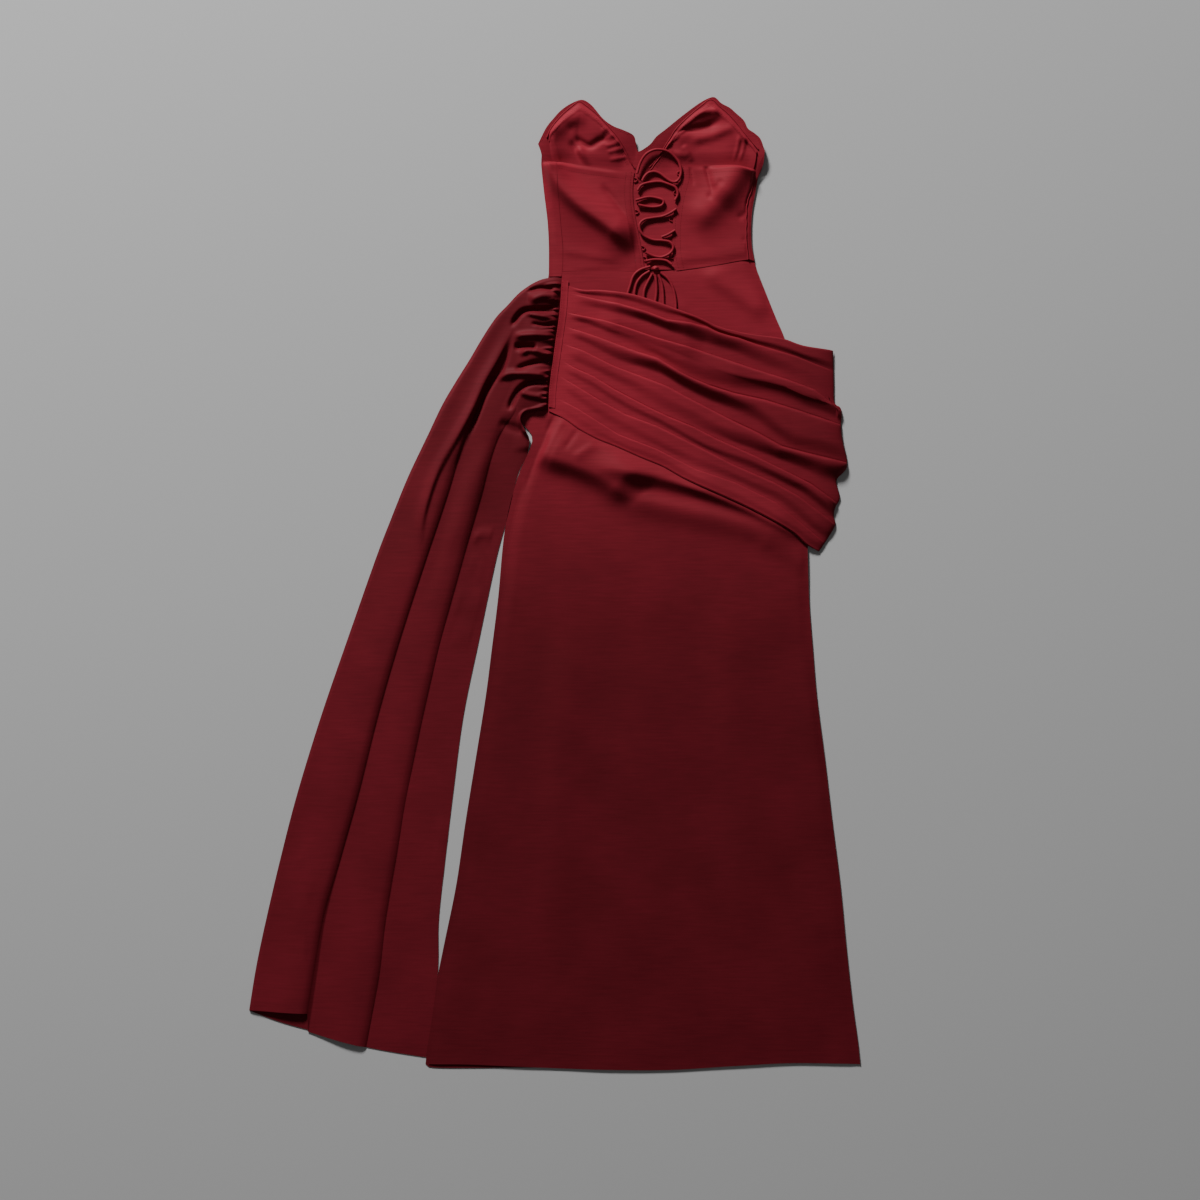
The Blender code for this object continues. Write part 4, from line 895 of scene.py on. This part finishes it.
def build_drape(satin, painted_shade_satin):
    side = shifted(DRAPE_RIGHT, DRAPE_OUT)
    bottom = shifted(DRAPE_BOTTOM, DRAPE_OUT)
    # the right side rolls down to the table over the last share of the width
    shares = np.concatenate([np.linspace(0, DRAPE_ROLL, 150)[:-1], np.linspace(DRAPE_ROLL, 1.0, 16)])
    turn = np.clip((shares - DRAPE_ROLL) / (1 - DRAPE_ROLL), 0, 1) * math.pi / 2
    across = np.where(shares > DRAPE_ROLL, DRAPE_ROLL + (1 - DRAPE_ROLL) * np.sin(turn), shares)
    fs = np.linspace(0, 1, 161)
    x, y = patch(([(11.6, 449), (7.6, 408), (0.6, 357), (-7.4, 297), (-9.4, 258)], side,
                  shifted(DRAPE_TOP, DRAPE_OUT), bottom), across, fs)
    grid = []
    for k, s in enumerate(across):
        ridges = ridge_shares(x[:, k], y[:, k], fs)
        px = photo_x(np.interp(ridges, fs, x[:, k]))
        stops = []
        tall = []
        for i, (_, rise) in enumerate(DRAPE_RIDGES):
            table = np.array(rise)
            high, flat, floor = [float(np.interp(px[i], table[:, 0], table[:, n])) for n in (1, 2, 3)]
            # the last table row is the drape's lower edge
            if i == len(DRAPE_RIDGES) - 1:
                stops += [0.9965, 1.0]
                tall += [0.9 * high, 0.45 * high]
                break
            sway = 0.05 * math.sin(11 * s + 1.7 * i) + 0.04 * math.sin(23 * s + 2.9 * i)
            for way in PLEAT_STOPS:
                shift = sway * math.sin(math.pi * way) ** 2
                stops.append(ridges[i] + (way + shift) * (ridges[i + 1] - ridges[i]))
                rolled = float(smooth((way - flat) / (floor - flat)))
                tall.append(high * np.interp(way, *EDGE_ROUND) * (1 - rolled))
        stops = np.maximum.accumulate(np.array(stops))
        cx = np.interp(stops, fs, x[:, k])
        cy = np.interp(stops, fs, y[:, k])
        tall = np.array(tall) * float(smooth((s * DRAPE_WIDTH - STRIP_WIDTH - 1) / 22.0))
        cover = smooth((cx - 62) / 34) * smooth((226 - cx) / 34) * smooth((0.3 - stops) / 0.13)
        above = cy - height_on(DRAPE_BOTTOM, cx)
        held = edge_lift(cx) * np.exp(-(np.maximum(above, 0) / 26) ** 2)
        z = DRAPE_STEP + tall + BOW_COVER * cover + held
        z = DRAPE_LOW + (z - DRAPE_LOW) * math.cos(turn[k])
        grid.append(np.stack([cx, cy, z], axis=-1))
    grid = np.stack(grid, axis=1)
    cloth("drape_pleated", grid, satin, ["drape_back"])
    x, y = patch(([(6, 415), (-1, 340), (-6, 262)], side, FRONT_TOP_PATH, bottom), spaced(60), spaced(40))
    cloth("drape_under", np.dstack([x, y, 0 * x]), painted_shade_satin, ["drape_front"])


def build_strip(satin):
    us = np.linspace(0, 1, 12)
    x, y = patch((STRIP_LINE, shifted(STRIP_LINE, STRIP_WIDTH, -2), [(10.6, 455), (20.6, 453)],
                  [(-9.6, 264), (0.4, 262)]), us, np.linspace(0, 1, 90))
    z = STRIP_STEP - 1.0 * smooth(us[None, :] * 1.2) + 0.25 * ripple(x, y, 6, 1.0, 2.3)
    cloth("strip_over_seam", np.dstack([x, y, z]), satin, ["seam_strip"], 0.45)


def train_columns(width, a, b):
    """Shares across one section of the train, and the height of its two folds there."""
    profile = np.array(STEP_PROFILE)
    offsets = np.concatenate([np.linspace(-22, -3, 15)[:-1], np.linspace(-3, 1, 11)[:-1],
                              np.linspace(1, 6, 4)])
    fold = np.interp(offsets, profile[:, 0], profile[:, 1])
    first = np.linspace(0, a * width + offsets[0], 35)[:-1]
    between = np.linspace(a * width + offsets[-1], b * width + offsets[0], 87)[1:-1]
    last = np.linspace(b * width + offsets[-1], width, 31)[1:]
    places = np.concatenate([first, a * width + offsets, between, b * width + offsets, last])
    high = np.zeros(len(places))
    for start, centre, tall in ((len(first), a * width, 1.0),
                                (len(first) + len(offsets) + len(between), b * width, 0.85)):
        before = np.minimum(places[:start] - centre - offsets[0], 0)
        high[:start] += tall * fold[0] * np.exp(-(before / STEP_SPREAD) ** 2)
        high[start:start + len(offsets)] += tall * fold
    return places / width, high


def build_train(painted_shade_satin):
    rows = np.array(TRAIN, float)
    top = np.linspace(0, 9, 121)[:-1]
    rest = np.linspace(9, len(TRAIN) - 1, 100)
    seam = Path(TRAIN_SEAM)
    gathers = (np.array(GATHER_PX) - GATHER_RANGE[0]) / (GATHER_RANGE[1] - GATHER_RANGE[0])
    grid = []
    for k in np.concatenate([top, rest]):
        ox, oy, ix, iy, a, b, puff = index_curve(rows, k)
        width = math.hypot(ix - ox, iy - oy)
        grown = float(smooth((k - 6.0) / 6.0))
        w, fold = train_columns(width, a, b)
        x = ox + (ix - ox) * w
        y = oy + (iy - oy) * w
        if k < 3:
            # the first rows follow the curved seam
            bend = 1 - float(smooth(k / 3))
            straight = np.stack([rows[0, 0] + (rows[0, 2] - rows[0, 0]) * w,
                                 rows[0, 1] + (rows[0, 3] - rows[0, 1]) * w], axis=-1)
            away = (seam.at(np.clip(w, 0, 1)) - straight) * bend
            x = x + away[:, 0]
            y = y + away[:, 1]
        # the hem bows outwards, and the panel on top has its own end
        hem = float(smooth((k - 19) / 3.0))
        y = y - TRAIN_HEM_BOW * np.sin(np.pi * w) * hem
        upper = -640 - (x + 458) * 0.06
        lower = -640 - (x + 458) * 0.271 - TRAIN_HEM_BOW * np.sin(np.pi * w)
        on_top = w * width < a * width + 0.15
        y = y + np.where(on_top, (upper - lower) * hem, 0.0)
        over = smooth((x - edge_x("front_left", y) + 30) / 24) * smooth((y - 194) / 12)
        base = TRAIN_STEP * over
        z = base + grown * STEP_HEIGHT * fold
        z = z + puff * np.sin(np.pi * np.clip(w, 0.0, 1.0)) ** 0.35
        from_seam = float(smooth(1 - k / 2.8))
        ends = smooth(w / 0.03) * smooth((1 - w) / 0.03)
        # the small gathers spring from the seam and soon fade
        small = np.zeros(len(w))
        for n, centre in enumerate(gathers):
            tall = GATHER_HEIGHT + 1.2 * math.sin(2.4 * n)
            small = small + tall * np.exp(-((w - centre) / GATHER_WIDTH) ** 2)
        z = z + small * from_seam * ends * min(k / 0.6, 1.0)
        z = z + ripple(x, y, 46, 0.8, 1.3) * grown
        edge = 0.35 + 0.65 * smooth(np.minimum(w, 1 - w) * width / 5.0)
        grid.append(np.stack([x, y, z, base, edge, 1.5 * hem * on_top], axis=-1))
    x, y, z, base, edge, lift = np.moveaxis(np.stack(grid, axis=0), -1, 0)
    z = z + folds_z(TRAIN_FOLDS, x, y)
    z = np.maximum(base + (z - base) * edge, base) + lift
    grid = np.stack([x, y, z], axis=-1)
    cloth("train_cloth", grid, painted_shade_satin, ["train"])
    # the corner that is turned under at the hem
    edges = ([(-446, -575), (-452, -610), (-458, -641)], [(-352, -575), (-358, -620), (-362, -672)],
             [(-446, -575), (-400, -575), (-352, -575)], [(-458, -641), (-412, -658), (-362, -672)])
    x, y = patch(edges, spaced(30), spaced(30))
    cloth("train_turned_under", np.dstack([x, y, 0 * x + 0.1]), painted_shade_satin, [])


def lace_point(x, y):
    left = x_on(BACK_LEFT_LACED, y)
    right = x_on(BACK_RIGHT_LACED, y)
    across = min(max((x - left) / (right - left), 0.0), 1.0)
    sag = LACE_SAG * math.sin(math.pi * across) ** 2
    return x, y, float(cup_lift(x, y)) + LACE_STEP - sag


def build_knot(rouleau):
    points = []
    faces = []
    rings = 18
    sides = 28
    for i in range(rings + 1):
        polar = math.pi * i / rings
        for j in range(sides):
            turn = 2 * math.pi * j / sides
            wrap = 1 + 0.07 * math.cos(2 * turn + 5 * math.cos(polar))
            points.append((KNOT[0] + KNOT_RADIUS * 1.12 * wrap * math.sin(polar) * math.cos(turn),
                           KNOT[1] + KNOT_RADIUS * 0.85 * wrap * math.sin(polar) * math.sin(turn),
                           KNOT_STEP + KNOT_RADIUS * 0.8 * wrap * math.cos(polar)))
    for i in range(rings):
        for j in range(sides):
            after = (j + 1) % sides
            faces.append([i * sides + j, (i + 1) * sides + j, (i + 1) * sides + after, i * sides + after])
    return add_mesh("knot", points, faces, rouleau, ["bow_knot"], sharp=0)


def build_lacing(rouleau):
    for k, strand in enumerate(LACE):
        cord("lace_strand_%d" % (k + 1), [lace_point(x, y) for x, y in strand], LACE_RADIUS, rouleau,
             ["lace_%d" % (k + 1)])
    for side, heights, line, sign in (("left", LOOP_HEIGHTS_LEFT, BACK_LEFT_LACED, 1),
                                      ("right", LOOP_HEIGHTS_RIGHT, BACK_RIGHT_LACED, -1)):
        for k, y in enumerate(heights):
            route = []
            for turn in np.linspace(-0.5, 0.5, 9):
                angle = math.pi * turn
                py = y - LOOP_SPREAD * math.sin(angle)
                px = x_on(line, py) + sign * (LOOP_START + LOOP_REACH * math.cos(angle))
                route.append((px, py, float(back_z(px, py)) + 0.6))
            cord("loop_%s_%d" % (side, k + 1), route, LOOP_RADIUS, rouleau,
                 ["lacing_loop_%s_%d" % (side, k + 1)], 0.8, 4)
    knot = build_knot(rouleau)
    for k, route in enumerate(BOW_LOOPS + BOW_TAILS):
        name = ("bow_loop_%d" % (k + 1)) if k < 2 else ("bow_tail_%d" % (k - 1))
        piece, path = cord(name.replace("bow", "ribbon"), [(x, y, BOW_STEP) for x, y in route],
                           LACE_RADIUS, rouleau, [name])


def build_sewing(thread):
    rows = []
    for edge in (LINING_EDGE_LEFT, LINING_EDGE_RIGHT):
        path = Path(edge)
        rows += [[tuple(path.at(share) + path.left(share) * inset) for share in np.linspace(0.03, 0.97, 50)]
                 for inset in (-3.0, -5.2)]
    stitches("stitching_cups", rows, ["cup_inside_left", "cup_inside_right"], thread)
    rows = [outward(part, -inset) for part in (NECKLINE[:13], NECKLINE[15:]) for inset in (1.6, 3.6)]
    stitches("stitching_rim", rows, ["bodice_front"], thread)
    rows = [shifted(BACK_LEFT_TOP, 0, -EDGE_TURN), shifted(BACK_RIGHT_TOP, 0, -EDGE_TURN),
            shifted(BACK_LEFT_LACED, -4), shifted(BACK_LEFT_LACED, -EDGE_TURN),
            shifted(BACK_RIGHT_LACED, 4), shifted(BACK_RIGHT_LACED, EDGE_TURN)]
    stitches("stitching_back", rows, ["back_half_left", "back_half_right"], thread)
    stitches("stitching_strip", [shifted(STRIP_LINE, 1.6)], ["strip_over_seam"], thread)
    stitches("stitching_hem", [shifted(HEM, 2, HEM_TURN)], ["skirt_back"], thread, 3.0, 2.2)


def area_light(name, at, aim, size, power):
    data = bpy.data.lights.new(name, "AREA")
    data.shape = "DISK"
    data.size = size
    data.energy = power
    light = bpy.data.objects.new(name, data)
    light.location = at
    light.rotation_euler = (Vector(aim) - Vector(at)).to_track_quat("-Z", "Y").to_euler()
    bpy.context.scene.collection.objects.link(light)


def build_set():
    """Pale table, soft studio light, and the camera straight above."""
    floor = bpy.data.meshes.new("floor")
    floor.from_pydata([(-6, -6, -0.0003), (6, -6, -0.0003), (6, 6, -0.0003), (-6, 6, -0.0003)], [],
                      [[0, 1, 2, 3]])
    material = bpy.data.materials.new("floor")
    material.use_nodes = True
    nodes = material.node_tree.nodes
    noise = set_inputs(material, nodes.new("ShaderNodeTexNoise"), Scale=3.0)
    ramp = set_inputs(material, nodes.new("ShaderNodeValToRGB"), ("Fac", noise.outputs["Fac"]))
    ramp.color_ramp.elements[0].color = (0.52, 0.52, 0.52, 1)
    ramp.color_ramp.elements[1].color = (0.55, 0.55, 0.55, 1)
    set_inputs(material, nodes["Principled BSDF"], ("Base Color", ramp.outputs["Color"]), Roughness=0.9,
               Specular_IOR_Level=0.1)
    floor.materials.append(material)
    table = bpy.data.objects.new("floor", floor)
    bpy.context.scene.collection.objects.link(table)
    area_light("key", (-1.9, 4.9, 2.6), (0.05, 0.1, 0.0), 1.2, 485.0)
    area_light("fill", (0.3, -0.2, 3.6), (0.05, 0.0, 0.0), 2.6, 4.0)
    world = bpy.data.worlds.new("studio")
    world.use_nodes = True
    set_inputs(world, world.node_tree.nodes["Background"], Color=(1, 1, 1, 1), Strength=0.06)
    bpy.context.scene.world = world
    data = bpy.data.cameras.new("camera")
    data.lens = 60.0
    data.sensor_width = 36.0
    data.clip_end = 50.0
    camera = bpy.data.objects.new("camera", data)
    camera.location = (0.0677, -0.0235, 3.0)
    bpy.context.scene.collection.objects.link(camera)
    bpy.context.scene.camera = camera


def main():
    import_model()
    satin = cloth_material("satin_bodice", (0.245, 0.0170, 0.0290))
    # a lighter copy of the bodice satin: painted light on the drape, and painted shade towards its right
    draped = cloth_material("satin_drape", (0.310, 0.0215, 0.0368), across=0.48)
    # the bodice satin with painted shade, darker towards the hem
    painted_shade_satin = cloth_material("satin_skirt", (0.245, 0.0170, 0.0290), painted_hem_shade=0.5)
    # a darker copy of the bodice satin: painted shade on the train, with less of it towards the hem
    shaded = cloth_material("satin_train", (0.128, 0.0090, 0.0155), painted_hem_shade=-0.16)
    # a lighter copy of the bodice satin: painted light on the linings
    lining = cloth_material("lining_cloth", (0.270, 0.0190, 0.0325), rough=0.6)
    # a little lighter than the bodice satin: painted light on the cords
    rouleau = cloth_material("rouleau_cord", (0.260, 0.0185, 0.0310), rough=0.5, thread=0.0008)
    thread = cloth_material("sewing_thread", (0.120, 0.0060, 0.0100), rough=0.6, thread=0.0004)
    build_set()
    build_lacing(rouleau)
    build_front(satin, painted_shade_satin)
    build_lining(lining, rouleau)
    build_back_bodice(satin, rouleau)
    build_back_skirt(painted_shade_satin)
    build_drape(draped, painted_shade_satin)
    build_strip(draped)
    build_train(shaded)
    build_sewing(thread)


main()
